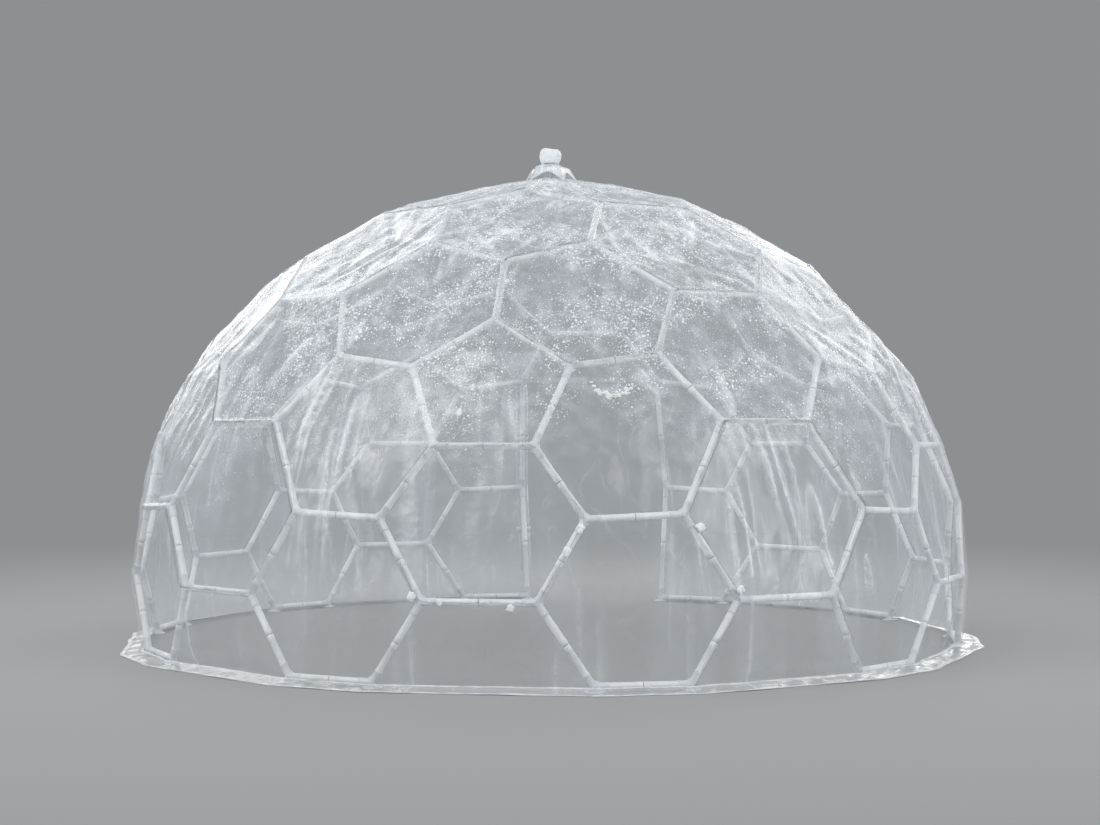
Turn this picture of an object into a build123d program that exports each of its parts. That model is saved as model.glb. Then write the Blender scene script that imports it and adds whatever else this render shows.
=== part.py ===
"""Garden dome: a geodesic frame of straight tubes in three-way hubs, under a clear film cover.

The frame's corners are a two-frequency icosahedron with every point cut off: each point of the
icosahedron becomes a pentagon, every other cell is a hexagon, and three tubes meet at each hub.
Millimetres, Z up, origin on the ground under the crown. The front, a pentagon over a hexagon,
faces -Y and the doorway faces +Y.
"""
from build123d import *
import os
from itertools import combinations
from math import acos, atan, atan2, cos, degrees, radians, sin

os.makedirs("parts", exist_ok=True)

# Frame
FRAME_RADIUS = 1782.0
CROWN_FLATTENING = 0.94      # height over that of a true sphere: the loaded frame stands a little low
PENTAGON_REACH = 9.7         # degrees at the sphere's centre, from a pentagon's middle to its corners
HEXAGON_REACH = 11.5         # degrees, from a hexagon's middle to its corners
BASE_POLAR = 99.9            # degrees down from the crown to the ground hubs

# Tubes and hubs
TUBE_RADIUS = 12.5
HUB_RADIUS = 14.0
HUB_REACH = 52.0             # hub's middle to the end of each of its three sleeves
BAR_SIDES = 8
FOOT_RADIUS = 34.0
FOOT_THICKNESS = 5.0
SOLE_TO_HUB = 21.0           # ground to the middle of a ground hub

# Cover
FILM_THICKNESS = 1.0
FILM_CLEARANCE = 0.2         # film to what it lies on
SEAM_GAP = 2.0               # between neighbouring film panels
SKIRT_REACH = 95.0           # how far the hem spreads over the ground
SKIRT_DROP = 3.0             # hem's upper edge, below the ground hubs' middles

# Doorway
DOOR_AZIMUTH = 180.0
ROLL_RADIUS = 36.0
ROLL_SIDES = 12
ROLL_CLEARANCE = 5.0         # the side panel stands up to this proud of the posts' hubs
ROLL_BOTTOM = 120.0
ROLL_TOP_DROP = 60.0         # roll's top, below the posts' uppermost hubs
TIE_THICKNESS = 2.0
TIE_WIDTH = 24.0
TIE_OFFSET = 3.0             # tie's tab, beside the line where the film ends, on the doorway's side

# Crown vent
VENT_RADIUS = 70.0           # hole in the crown's film, middle to corner
CROWN_RISE = 40.0            # the vent's edge, above the film's seat on the crown's tubes
CAP_RADIUS = 128.0
CAP_SHOULDER_RADIUS = 88.0
CAP_TOP_RADIUS = 26.0
CAP_WALL_HEIGHT = 62.0
CAP_ROOF_HEIGHT = 26.0
CAP_SHEET = 3.5              # measured upright
CAP_ARCH_RISE = 40.0
CAP_ARCH_SHARE = 0.92        # of each side's length
CAP_FOOT_LIFT = 0.8          # keeps the feet's ends off the film, which rises between them
KNOB_RADIUS = 54.0
KNOB_HEIGHT = 76.0
KNOB_PROFILE = ((0.72, 0.0), (1.0, 0.3), (0.96, 0.62), (0.68, 0.9), (0.3, 1.0))  # shares of radius and height

# Tiers of the frame, by how far down from the crown they reach in degrees
TIERS = {"crown": 25.0, "upper": 41.0, "shoulder": 55.0, "middle": 67.0, "lower": 86.0, "foot": 180.0}

HEIGHT_SCALE = FRAME_RADIUS * CROWN_FLATTENING
CENTRE_HEIGHT = SOLE_TO_HUB - HEIGHT_SCALE * cos(radians(BASE_POLAR))
FILM_LIFT = HUB_RADIUS + FILM_CLEARANCE
BAR_FLAT = cos(radians(180.0 / BAR_SIDES))      # a bar's flat side, as a share of its radius
ROLL_FLAT = cos(radians(180.0 / ROLL_SIDES))


def direction(polar, azimuth):
    """Unit vector from the dome's centre; azimuth 0 is the front and grows towards +X."""
    p, a = radians(polar), radians(azimuth)
    return Vector(sin(p) * sin(a), -sin(p) * cos(a), cos(p))


def polar_of(unit):
    return degrees(acos(max(-1.0, min(1.0, unit.Z))))


def azimuth_of(unit):
    return degrees(atan2(unit.X, -unit.Y)) % 360.0


def cell_centres():
    """The icosahedron's twelve points, then the middles of its thirty edges."""
    ring = degrees(atan(2.0))
    points = [direction(0.0, 0.0), direction(180.0, 0.0)]
    for step in range(5):
        points.append(direction(ring, 72.0 * step))
        points.append(direction(180.0 - ring, 72.0 * step + 36.0))
    middles = [(a + b).normalized() for a, b in combinations(points, 2) if a.dot(b) > 0.4]
    return points, middles


def along(start, end, angle):
    """The unit vector that lies angle degrees from start on the way to end."""
    span = acos(start.dot(end))
    turn = radians(angle)
    return (start * sin(span - turn) + end * sin(turn)) * (1.0 / sin(span))


def build_network():
    """Corners keyed by (cell, neighbour), the tubes between them and the cells they bound."""
    points, middles = cell_centres()
    centres = points + middles
    near = cos(radians(38.0))
    pairs = [(a, b) for a, b in combinations(range(len(centres)), 2) if centres[a].dot(centres[b]) > near]
    neighbours = {a: set() for a in range(len(centres))}
    corners = {}
    for a, b in pairs:
        neighbours[a].add(b)
        neighbours[b].add(a)
        for here, there in ((a, b), (b, a)):
            reach = PENTAGON_REACH if here < len(points) else HEXAGON_REACH
            corners[here, there] = along(centres[here], centres[there], reach)
    cells = []
    for a in neighbours:
        ring = sort_round(centres[a], {(a, b): corners[a, b] for b in neighbours[a]})
        cells.append((centres[a], ring))
    for a, b in pairs:
        for c in neighbours[a] & neighbours[b]:
            if c > b:
                ring = [(a, b), (b, a), (b, c), (c, b), (c, a), (a, c)]
                middle = (centres[a] + centres[b] + centres[c]).normalized()
                cells.append((middle, ring))
    return corners, cells


def sort_round(axis, found):
    """Keys of the corners in order round an axis."""
    plane = Plane(origin=(0, 0, 0), z_dir=axis)
    return sorted(found, key=lambda key: atan2(found[key].dot(plane.y_dir), found[key].dot(plane.x_dir)))


def tier_name(polar):
    return next(name for name, limit in TIERS.items() if polar < limit)


def is_ground(unit):
    return 95.0 < polar_of(unit) < 104.0


def in_doorway(unit):
    """The four corners that the doorway does without: its sides run straight past them."""
    return 66.0 < polar_of(unit) < 95.0 and abs(azimuth_of(unit) - DOOR_AZIMUTH) < 8.0


def placed(unit):
    """A corner's place: on the flattened sphere, or at the ground hubs' height."""
    height = SOLE_TO_HUB if is_ground(unit) else CENTRE_HEIGHT + HEIGHT_SCALE * unit.Z
    return Vector(FRAME_RADIUS * unit.X, FRAME_RADIUS * unit.Y, height)


def outward(point):
    return (point - Vector(0, 0, CENTRE_HEIGHT)).normalized()


def square_out(start, end):
    """Away from the dome, square to the line between two points."""
    way = (end - start).normalized()
    away = outward((start + end) * 0.5)
    return (away - way * away.dot(way)).normalized()


def bar(start, end, radius, sides=BAR_SIDES):
    """A straight bar of few sides between two points, one flat side turned away from the dome."""
    run = end - start
    across = Plane(origin=start, x_dir=square_out(start, end), z_dir=run.normalized())
    section = across * RegularPolygon(radius, sides, rotation=180.0 / sides)
    return extrude(section, amount=run.length)


def make_tube(start, end):
    way = (end - start).normalized()
    return bar(start + way * HUB_REACH, end - way * HUB_REACH, TUBE_RADIUS)


def make_hub(middle, ends):
    """A hub of one sleeve for each tube that meets there."""
    body = None
    for end in ends:
        sleeve = bar(middle, middle + (end - middle).normalized() * HUB_REACH, HUB_RADIUS)
        body = sleeve if body is None else body + sleeve
    return body


def make_foot(middle):
    """The round sole and short stem under a ground hub."""
    sole = Pos(middle.X, middle.Y, 0) * extrude(RegularPolygon(FOOT_RADIUS, 12), amount=FOOT_THICKNESS)
    stem = Pos(middle.X, middle.Y, 0) * extrude(RegularPolygon(HUB_RADIUS * 0.8, BAR_SIDES), amount=middle.Z)
    return sole + stem


def panel_plane(points):
    """The plane that a panel's film lies in, clear of every hub at its corners."""
    middle = sum(points, Vector(0, 0, 0)) * (1.0 / len(points))
    normal = Vector(0, 0, 0)
    for here, there in zip(points, points[1:] + points[:1]):
        normal += (here - middle).cross(there - middle)
    normal = normal.normalized()
    if normal.dot(outward(middle)) < 0:
        normal = normal * -1
    highest = max((point - middle).dot(normal) for point in points)
    return Plane(origin=middle + normal * (highest + FILM_LIFT), z_dir=normal)


def make_panel(points):
    """One flat film panel over a cell of the frame."""
    plane = panel_plane(points)
    outline = [plane.to_local_coords(point + outward(point) * FILM_LIFT) for point in points]
    flat = make_face(Polyline(*[(p.X, p.Y) for p in outline], close=True))
    trimmed = offset(flat, -SEAM_GAP / 2, kind=Kind.INTERSECTION)
    return plane * extrude(trimmed, amount=FILM_THICKNESS)


def make_crown_panel(seat, outer_radius):
    """The crown's film, drawn up from its five tubes to the five-sided edge of the vent."""
    outline = RegularPolygon(outer_radius, 5, rotation=-90)
    vent = RegularPolygon(VENT_RADIUS, 5, rotation=-90)
    outside = loft([Pos(0, 0, seat) * outline, Pos(0, 0, seat + CROWN_RISE) * vent])
    inside = Pos(0, 0, -FILM_THICKNESS) * outside
    return outside - inside - Pos(0, 0, seat) * extrude(vent, amount=2 * CROWN_RISE)


def make_skirt(left, right):
    """One length of the hem, from the hubs' height out to the ground."""
    along_span = (right - left).normalized()
    away = along_span.cross(Vector(0, 0, 1))
    if away.dot(left + right) < 0:
        away = away * -1
    top = SOLE_TO_HUB - SKIRT_DROP
    upper_edge = HUB_RADIUS * BAR_FLAT + 2 * FILM_CLEARANCE
    corners = []
    for point, sideways in ((left, 1), (right, -1)):
        radial = Vector(point.X, point.Y, 0).normalized()
        for distance, height in ((upper_edge, top), (HUB_RADIUS + SKIRT_REACH, 0.0)):
            spot = point + radial * (distance / radial.dot(away)) + along_span * (sideways * SEAM_GAP / 2)
            corners.append(Vector(spot.X, spot.Y, height))
    upper_left, lower_left, upper_right, lower_right = corners
    sheet = make_face(Polyline(upper_left, lower_left, lower_right, upper_right, close=True))
    normal = (lower_left - upper_left).cross(along_span).normalized()
    if normal.Z < 0:
        normal = normal * -1
    return extrude(sheet, amount=FILM_THICKNESS, dir=normal)


def make_vent_cap(seat):
    """A five-sided tent over the vent: an arch in each wall, a low roof and a knob on top."""
    def section(radius, height):
        return Pos(0, 0, height) * RegularPolygon(radius, 5, rotation=90)

    shoulder = section(CAP_SHOULDER_RADIUS, CAP_WALL_HEIGHT)
    top = CAP_WALL_HEIGHT + CAP_ROOF_HEIGHT
    tent = loft([section(CAP_RADIUS, 0.0), shoulder]) + loft([shoulder, section(CAP_TOP_RADIUS, top)])
    cap = tent - Pos(0, 0, -CAP_SHEET) * tent
    half_span = CAP_RADIUS * sin(radians(36.0)) * CAP_ARCH_SHARE
    arch_radius = (half_span ** 2 + CAP_ARCH_RISE ** 2) / (2 * CAP_ARCH_RISE)
    for step in range(5):
        cutter = Pos(0, 0, CAP_ARCH_RISE - arch_radius) * Rot(90, 0, 0) * Cylinder(
            arch_radius, CAP_RADIUS, align=(Align.CENTER, Align.CENTER, Align.MIN))
        cap -= Rot(0, 0, 72.0 * step) * cutter
    knob = loft([
        Pos(0, 0, top - CAP_SHEET + KNOB_HEIGHT * up) * RegularPolygon(KNOB_RADIUS * out, ROLL_SIDES)
        for out, up in KNOB_PROFILE
    ], ruled=True)
    return Pos(0, 0, seat) * (cap + knob)


def make_door_roll(upper_hub, middle_hub, lower_hub):
    """The film door, rolled up beside its posts, and the ties that hold it to them."""
    outer_radius = ROLL_RADIUS + TIE_THICKNESS
    stand_off = FILM_LIFT + FILM_THICKNESS + ROLL_CLEARANCE + outer_radius * ROLL_FLAT
    lower_out = square_out(lower_hub, middle_hub)
    upper_out = square_out(middle_hub, upper_hub)
    foot = lower_hub + (middle_hub - lower_hub).normalized() * ROLL_BOTTOM + lower_out * stand_off
    bend = middle_hub + (lower_out + upper_out) * (stand_off / (1.0 + lower_out.dot(upper_out)))
    head = upper_hub + (middle_hub - upper_hub).normalized() * ROLL_TOP_DROP + upper_out * stand_off
    roll = bar(foot, bend, ROLL_RADIUS, ROLL_SIDES) + bar(bend, head, ROLL_RADIUS, ROLL_SIDES)
    ties = []
    for start, end in ((foot, bend), (bend, head)):
        way = (end - start).normalized()
        away = square_out(start, end)
        doorway_side = way.cross(away)
        if doorway_side.X * middle_hub.X > 0:
            doorway_side = doorway_side * -1
        at = (start + end) * 0.5 - way * (TIE_WIDTH / 2)
        outside = bar(at, at + way * TIE_WIDTH, outer_radius, ROLL_SIDES)
        inside = bar(at, at + way * TIE_WIDTH, ROLL_RADIUS + FILM_CLEARANCE, ROLL_SIDES)
        near = TUBE_RADIUS * BAR_FLAT + FILM_CLEARANCE
        far = stand_off - (ROLL_RADIUS + TIE_THICKNESS / 2) * ROLL_FLAT
        middle = at + doorway_side * TIE_OFFSET + away * ((near + far) / 2 - stand_off)
        side_on = Plane(origin=middle, x_dir=away, z_dir=way)
        tab = extrude(side_on * Rectangle(far - near, TIE_THICKNESS), amount=TIE_WIDTH)
        ties.append(outside - inside + tab)
    return roll, ties


def write(name, solids):
    export_step(Compound(label=name, children=list(solids)), f"parts/{name}.step")


corner_units, all_cells = build_network()
used = {key: unit for key, unit in corner_units.items() if polar_of(unit) < 104.0 and not in_doorway(unit)}
place = {key: placed(unit) for key, unit in used.items()}

# Tubes run along every cell's outline, and the door posts replace the corners left out
tube_ends = set()
panels = []
for centre, ring in all_cells:
    present = [key for key in ring if key in place]
    doorway = sum(in_doorway(corner_units[key]) for key in ring) >= 2
    for here, there in zip(ring, ring[1:] + ring[:1]):
        if here in place and there in place:
            tube_ends.add(frozenset((here, there)))
    if len(present) >= 4 and not doorway:
        panels.append((centre, present))

# The doorway's sides run straight down from its header through one hub each to the ground
door_hubs = []
for side in (-1, 1):
    column = [
        key for key, unit in used.items()
        if 10.0 < (azimuth_of(unit) - DOOR_AZIMUTH) * side < 15.0 and polar_of(unit) > 55.0
    ]
    column.sort(key=lambda key: polar_of(used[key]))
    door_hubs.append(column)
    for here, there in zip(column, column[1:]):
        tube_ends.add(frozenset((here, there)))
post_pairs = {frozenset(pair) for column in door_hubs for pair in zip(column, column[1:])}

tubes = {name: [] for name in TIERS}
hubs = {name: [] for name in TIERS}
films = {name: [] for name in TIERS}
posts = []
base_tubes = []
feet = []
linked = {key: [] for key in place}
for pair in tube_ends:
    here, there = sorted(pair)
    linked[here].append(place[there])
    linked[there].append(place[here])
    tube = make_tube(place[here], place[there])
    polar = polar_of((used[here] + used[there]).normalized())
    if is_ground(used[here]) and is_ground(used[there]):
        base_tubes.append(tube)
    elif pair in post_pairs:
        posts.append(tube)
    else:
        tubes[tier_name(polar)].append(tube)
for key, middle in place.items():
    body = make_hub(middle, linked[key])
    if is_ground(used[key]):
        feet.append(body + make_foot(middle))
    else:
        hubs[tier_name(polar_of(used[key]))].append(body)
for centre, ring in panels:
    if polar_of(centre) < PENTAGON_REACH:
        corner = place[ring[0]]
        crown_seat = corner.Z + FILM_LIFT
        crown_reach = Vector(corner.X, corner.Y, 0).length
        films["crown"].append(make_crown_panel(crown_seat, crown_reach))
    else:
        films[tier_name(polar_of(centre))].append(make_panel([place[key] for key in ring]))

for name in TIERS:
    if tubes[name]:
        write(f"{name}_tubes", tubes[name])
    if hubs[name]:
        write(f"{name}_hubs", hubs[name])
    if films[name]:
        write(f"{name}_film", films[name])
write("door_posts", posts)
write("base_tubes", base_tubes)
write("ground_hubs", feet)

# Hem, all round but for the doorway
ground = sorted((key for key in place if is_ground(used[key])), key=lambda key: azimuth_of(used[key]))
skirts = []
threshold = {column[-1] for column in door_hubs}
for here, there in zip(ground, ground[1:] + ground[:1]):
    if {here, there} != threshold:
        skirts.append(make_skirt(place[here], place[there]))
write("hem_skirt", skirts)

# Crown vent and the rolled-up door
flat_share = cos(radians(36.0))
run = (crown_reach - VENT_RADIUS) * flat_share
film_under_foot = crown_seat + CROWN_RISE * (crown_reach * flat_share - CAP_RADIUS) / run
write("vent_cap", [make_vent_cap(film_under_foot + FILM_CLEARANCE + CAP_FOOT_LIFT)])
roll, ties = make_door_roll(*(place[key] for key in door_hubs[1]))
write("door_roll", [roll])
write("door_ties", ties)
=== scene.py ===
import logging
import math
from dataclasses import dataclass, field
from enum import Enum
from itertools import combinations

import bpy
import numpy as np
from mathutils import Euler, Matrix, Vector, noise


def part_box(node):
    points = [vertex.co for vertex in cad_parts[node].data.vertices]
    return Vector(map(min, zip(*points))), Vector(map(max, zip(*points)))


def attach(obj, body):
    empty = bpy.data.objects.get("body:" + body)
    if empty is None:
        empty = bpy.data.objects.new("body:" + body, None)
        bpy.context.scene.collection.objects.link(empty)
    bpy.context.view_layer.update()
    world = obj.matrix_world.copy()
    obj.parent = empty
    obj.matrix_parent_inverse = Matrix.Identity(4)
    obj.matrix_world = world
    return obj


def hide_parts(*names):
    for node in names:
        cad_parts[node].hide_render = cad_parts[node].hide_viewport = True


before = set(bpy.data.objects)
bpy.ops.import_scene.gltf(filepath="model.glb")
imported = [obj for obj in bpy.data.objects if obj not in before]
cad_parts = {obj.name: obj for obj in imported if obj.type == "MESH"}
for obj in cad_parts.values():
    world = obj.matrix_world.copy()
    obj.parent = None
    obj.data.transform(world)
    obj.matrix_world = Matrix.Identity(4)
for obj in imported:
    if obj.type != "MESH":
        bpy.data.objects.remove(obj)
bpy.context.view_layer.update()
log = logging.getLogger("garden_dome")

Key = tuple[int, int]
Pair = tuple[float, float]
Point = tuple[float, float, float]
Colour = tuple[float, float, float, float]
Face = tuple[int, ...]
Piece = bpy.types.Object
Material = bpy.types.Material
Tree = bpy.types.NodeTree
Node = bpy.types.Node
Socket = bpy.types.NodeSocket
Feed = Socket | float | Point | Colour
FULL = 2.0 * math.pi
UP = Vector((0.0, 0.0, 1.0))
RIGHT = Vector((1.0, 0.0, 0.0))
BACK = Vector((0.0, 1.0, 0.0))


# Shared helpers

def smoothstep(low: float, high: float, value: float) -> float:
    """Eases from 0 at low to 1 at high.

    Args:
        low: The value that gives 0.
        high: The value that gives 1.
        value: The value to ease.

    Returns:
        The eased share, from 0 to 1.
    """
    share = min(1.0, max(0.0, (value - low) / (high - low)))
    return share * share * (3.0 - 2.0 * share)


def across(way: Vector, near: Vector) -> tuple[Vector, Vector]:
    """Two directions square to a line.

    Args:
        way: The line's unit direction.
        near: A direction that the first of the two leans towards.

    Returns:
        The direction nearest to near, and the one square to both.
    """
    first = (near - way * near.dot(way)).normalized()
    return first, way.cross(first)


def spoke(first: Vector, second: Vector, angle: float) -> Vector:
    """The unit direction at an angle from one direction towards another that is square to it."""
    return first * math.cos(angle) + second * math.sin(angle)


def lattice(
        rows: int, columns: int, ringed: bool = False, looped: bool = False, flipped: bool = False) -> list[Face]:
    """The faces of a grid of points that are listed row by row.

    Args:
        rows: How many rows there are.
        columns: How many points each row has.
        ringed: True if each row's last point joins its first.
        looped: True if the last row joins the first.
        flipped: True to turn the faces over.

    Returns:
        The faces, as places in the list of points.
    """
    faces = []
    for row in range(rows if looped else rows - 1):
        this, beyond = row * columns, (row + 1) % rows * columns
        for column in range(columns if ringed else columns - 1):
            beside = (column + 1) % columns
            face = (this + column, this + beside, beyond + beside, beyond + column)
            faces.append((face[0], *reversed(face[1:])) if flipped else face)
    return faces


class MeshWorks:
    """Gathers points and faces of one piece, then makes its object."""

    def __init__(self, name: str) -> None:
        """Starts an empty piece.

        Args:
            name: The piece's name.
        """
        self.name = name
        self.points: list[Vector] = []
        self.faces: list[Face] = []
        self.finishes: list[int] = []
        self.flat: list[bool] = []

    def add(self, points: list[Vector], faces: list[Face], finish: int = 0, flat: bool = False) -> None:
        """Adds a part of the mesh.

        Args:
            points: Its points.
            faces: Its faces, as places in points.
            finish: Which of the piece's materials it has.
            flat: True if its faces aren't shaded round.
        """
        first = len(self.points)
        self.points.extend(points)
        for face in faces:
            self.faces.append(tuple(first + corner for corner in face))
            self.finishes.append(finish)
            self.flat.append(flat)

    def turned(
            self, start: Vector, way: Vector, rings: list[Pair], sides: int, near: Vector,
            finish: int = 0) -> None:
        """Adds a body that is round about a line.

        Args:
            start: Where the line starts.
            way: The line's unit direction.
            rings: Pairs of distance along the line and radius there.
            sides: How many sides stand for the round.
            near: Where the first side points.
            finish: Which of the piece's materials it has.
        """
        first, second = across(way, near)
        points = [
            start + way * along + spoke(first, second, FULL * k / sides) * radius
            for along, radius in rings for k in range(sides)
        ]
        self.add(points, lattice(len(rings), sides, ringed=True), finish)
        self.add(points[:sides], [tuple(reversed(range(sides)))], finish, flat=True)
        self.add(points[-sides:], [tuple(range(sides))], finish, flat=True)

    def box(self, middle: Vector, axes: tuple[Vector, Vector, Vector], half: Point, finish: int = 0) -> None:
        """Adds a box.

        Args:
            middle: Its middle.
            axes: Its three unit directions.
            half: Half its size along each of them.
            finish: Which of the piece's materials it has.
        """
        points = [
            middle + axes[0] * half[0] * a + axes[1] * half[1] * b + axes[2] * half[2] * c
            for c in (-1, 1) for b in (-1, 1) for a in (-1, 1)
        ]
        faces = [(0, 2, 3, 1), (4, 5, 7, 6), (0, 1, 5, 4), (2, 6, 7, 3), (0, 4, 6, 2), (1, 3, 7, 5)]
        self.add(points, faces, finish, flat=True)

    def make(self, materials: list[Material]) -> Piece:
        """Makes the object.

        Args:
            materials: The piece's materials, in the order that add() names them.

        Returns:
            The new object, riding on the dome.
        """
        mesh = bpy.data.meshes.new(self.name)
        mesh.from_pydata([tuple(point) for point in self.points], [], self.faces)
        for material in materials:
            mesh.materials.append(material)
        mesh.polygons.foreach_set("material_index", self.finishes)
        mesh.polygons.foreach_set("use_smooth", [not flat for flat in self.flat])
        mesh.update()
        made = bpy.data.objects.new(self.name, mesh)
        bpy.context.scene.collection.objects.link(made)
        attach(made, "root")
        log.info("%s: %d faces", self.name, len(self.faces))
        return made


# The frame's network, in metres, from the same sizes as the solids

@dataclass(frozen=True)
class DomeSizes:
    """The dome's driving sizes, in metres and degrees."""

    radius: float = 1.782
    flattening: float = 0.94
    pentagon_reach: float = 9.7
    hexagon_reach: float = 11.5
    base_polar: float = 99.9
    sole_to_hub: float = 0.021
    tube_radius: float = 0.0125
    hub_radius: float = 0.014
    hub_reach: float = 0.052
    door_azimuth: float = 180.0
    ground_from: float = 95.0
    ground_to: float = 104.0
    doorway_from: float = 66.0
    doorway_half: float = 8.0
    post_from: float = 10.0
    post_to: float = 15.0
    tiers: tuple[tuple[str, float], ...] = (
        ("crown", 25.0), ("upper", 41.0), ("shoulder", 55.0),
        ("middle", 67.0), ("lower", 86.0), ("foot", 180.0))

    @property
    def centre_height(self) -> float:
        """Height of the sphere's centre above the ground."""
        return self.sole_to_hub - self.radius * self.flattening * math.cos(math.radians(self.base_polar))


class Network:
    """Where the dome's hubs are, what tubes join them and what cells they bound."""

    def __init__(self, sizes: DomeSizes) -> None:
        """Works the whole network out.

        Args:
            sizes: The dome's driving sizes.
        """
        self.sizes = sizes
        self.corners, self.all_cells = self.build()
        self.unit = {
            key: unit for key, unit in self.corners.items()
            if self.polar(unit) < sizes.ground_to and not self.in_doorway(unit)
        }
        self.place = {key: self.placed(unit) for key, unit in self.unit.items()}
        self.cells = []
        self.pairs: set[frozenset] = set()
        for centre, ring in self.all_cells:
            present = [key for key in ring if key in self.place]
            doorway = sum(self.in_doorway(self.corners[key]) for key in ring) >= 2
            for here, there in zip(ring, ring[1:] + ring[:1]):
                if here in self.place and there in self.place:
                    self.pairs.add(frozenset((here, there)))
            if len(present) >= 4 and not doorway:
                self.cells.append((centre, present))
        self.door = [self.door_column(side) for side in (-1, 1)]
        self.posts = {frozenset(pair) for column in self.door for pair in zip(column, column[1:])}
        self.pairs |= self.posts
        self.links: dict[Key, list[Key]] = {key: [] for key in self.place}
        for pair in self.pairs:
            here, there = sorted(pair)
            self.links[here].append(there)
            self.links[there].append(here)
        ground = [key for key, unit in self.unit.items() if self.is_ground(unit)]
        self.ground = sorted(ground, key=lambda key: self.azimuth(self.unit[key]))

    @staticmethod
    def direction(polar: float, azimuth: float) -> Vector:
        """Unit vector from polar and azimuth in degrees; azimuth 0 is the front and grows towards +X."""
        p, a = math.radians(polar), math.radians(azimuth)
        return Vector((math.sin(p) * math.sin(a), -math.sin(p) * math.cos(a), math.cos(p)))

    @staticmethod
    def polar(unit: Vector) -> float:
        """Degrees down from the crown."""
        return math.degrees(math.acos(max(-1.0, min(1.0, unit.z))))

    @staticmethod
    def azimuth(unit: Vector) -> float:
        """Degrees round from the front."""
        return math.degrees(math.atan2(unit.x, -unit.y)) % 360.0

    def is_ground(self, unit: Vector) -> bool:
        """True for a corner of the ground row."""
        return self.sizes.ground_from < self.polar(unit) < self.sizes.ground_to

    def in_doorway(self, unit: Vector) -> bool:
        """Tells the four corners that the doorway does without.

        Args:
            unit: A corner's unit vector.

        Returns:
            True for one of the four.
        """
        sizes = self.sizes
        off = abs(self.azimuth(unit) - sizes.door_azimuth)
        return sizes.doorway_from < self.polar(unit) < sizes.ground_from and off < sizes.doorway_half

    def placed(self, unit: Vector) -> Vector:
        """A corner's place: on the flattened sphere, or at the ground hubs' height.

        Args:
            unit: The corner's unit vector.

        Returns:
            The place, in metres.
        """
        sizes = self.sizes
        height = sizes.centre_height + sizes.radius * sizes.flattening * unit.z
        if self.is_ground(unit):
            height = sizes.sole_to_hub
        return Vector((sizes.radius * unit.x, sizes.radius * unit.y, height))

    def outward(self, point: Vector) -> Vector:
        """Away from the dome's centre at a point."""
        return (point - UP * self.sizes.centre_height).normalized()

    def tier(self, unit: Vector) -> str:
        """Name of the tier that a direction is in."""
        return next(name for name, limit in self.sizes.tiers if self.polar(unit) < limit)

    def door_column(self, side: int) -> list[Key]:
        """The hubs down one side of the doorway, from the header to the ground.

        Args:
            side: -1 or 1, for which side.

        Returns:
            Their keys.
        """
        sizes = self.sizes
        header_from = dict(sizes.tiers)["shoulder"]
        column = [
            key for key, unit in self.unit.items()
            if sizes.post_from < (self.azimuth(unit) - sizes.door_azimuth) * side < sizes.post_to
            and self.polar(unit) > header_from
        ]
        return sorted(column, key=lambda key: self.polar(self.unit[key]))

    def build(self) -> tuple[dict[Key, Vector], list[tuple[Vector, list[Key]]]]:
        """Works out corners and cells of the closed sphere.

        Returns:
            Unit vectors of the corners by key, and each cell's middle with its corners in order.
        """
        row, turn = math.degrees(math.atan(2.0)), 72.0
        points = [self.direction(0.0, 0.0), self.direction(180.0, 0.0)]
        for step in range(5):
            points.append(self.direction(row, turn * step))
            points.append(self.direction(180.0 - row, turn * (step + 0.5)))
        next_point, next_centre = math.cos(math.radians(66.0)), math.cos(math.radians(38.0))
        middles = [(a + b).normalized() for a, b in combinations(points, 2) if a.dot(b) > next_point]
        centres = points + middles
        pairs = [
            (a, b) for a, b in combinations(range(len(centres)), 2) if centres[a].dot(centres[b]) > next_centre
        ]
        neighbours: dict[int, set[int]] = {a: set() for a in range(len(centres))}
        corners: dict[Key, Vector] = {}
        for a, b in pairs:
            neighbours[a].add(b)
            neighbours[b].add(a)
            for here, there in ((a, b), (b, a)):
                reach = self.sizes.pentagon_reach if here < len(points) else self.sizes.hexagon_reach
                corners[here, there] = self.between(centres[here], centres[there], reach)
        cells = []
        for a, around in neighbours.items():
            first, second = across(centres[a], centres[a].orthogonal())
            bearing = {
                (a, b): math.atan2(corners[a, b].dot(second), corners[a, b].dot(first)) for b in around
            }
            cells.append((centres[a], sorted(bearing, key=bearing.get)))
        for a, b in pairs:
            for c in neighbours[a] & neighbours[b]:
                if c > b:
                    middle = (centres[a] + centres[b] + centres[c]).normalized()
                    cells.append((middle, [(a, b), (b, a), (b, c), (c, b), (c, a), (a, c)]))
        return corners, cells

    @staticmethod
    def between(start: Vector, end: Vector, angle: float) -> Vector:
        """The unit vector that lies angle degrees from start on the way to end."""
        span, turn = math.acos(start.dot(end)), math.radians(angle)
        return (start * math.sin(span - turn) + end * math.sin(turn)) / math.sin(span)


# Finishes

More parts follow.
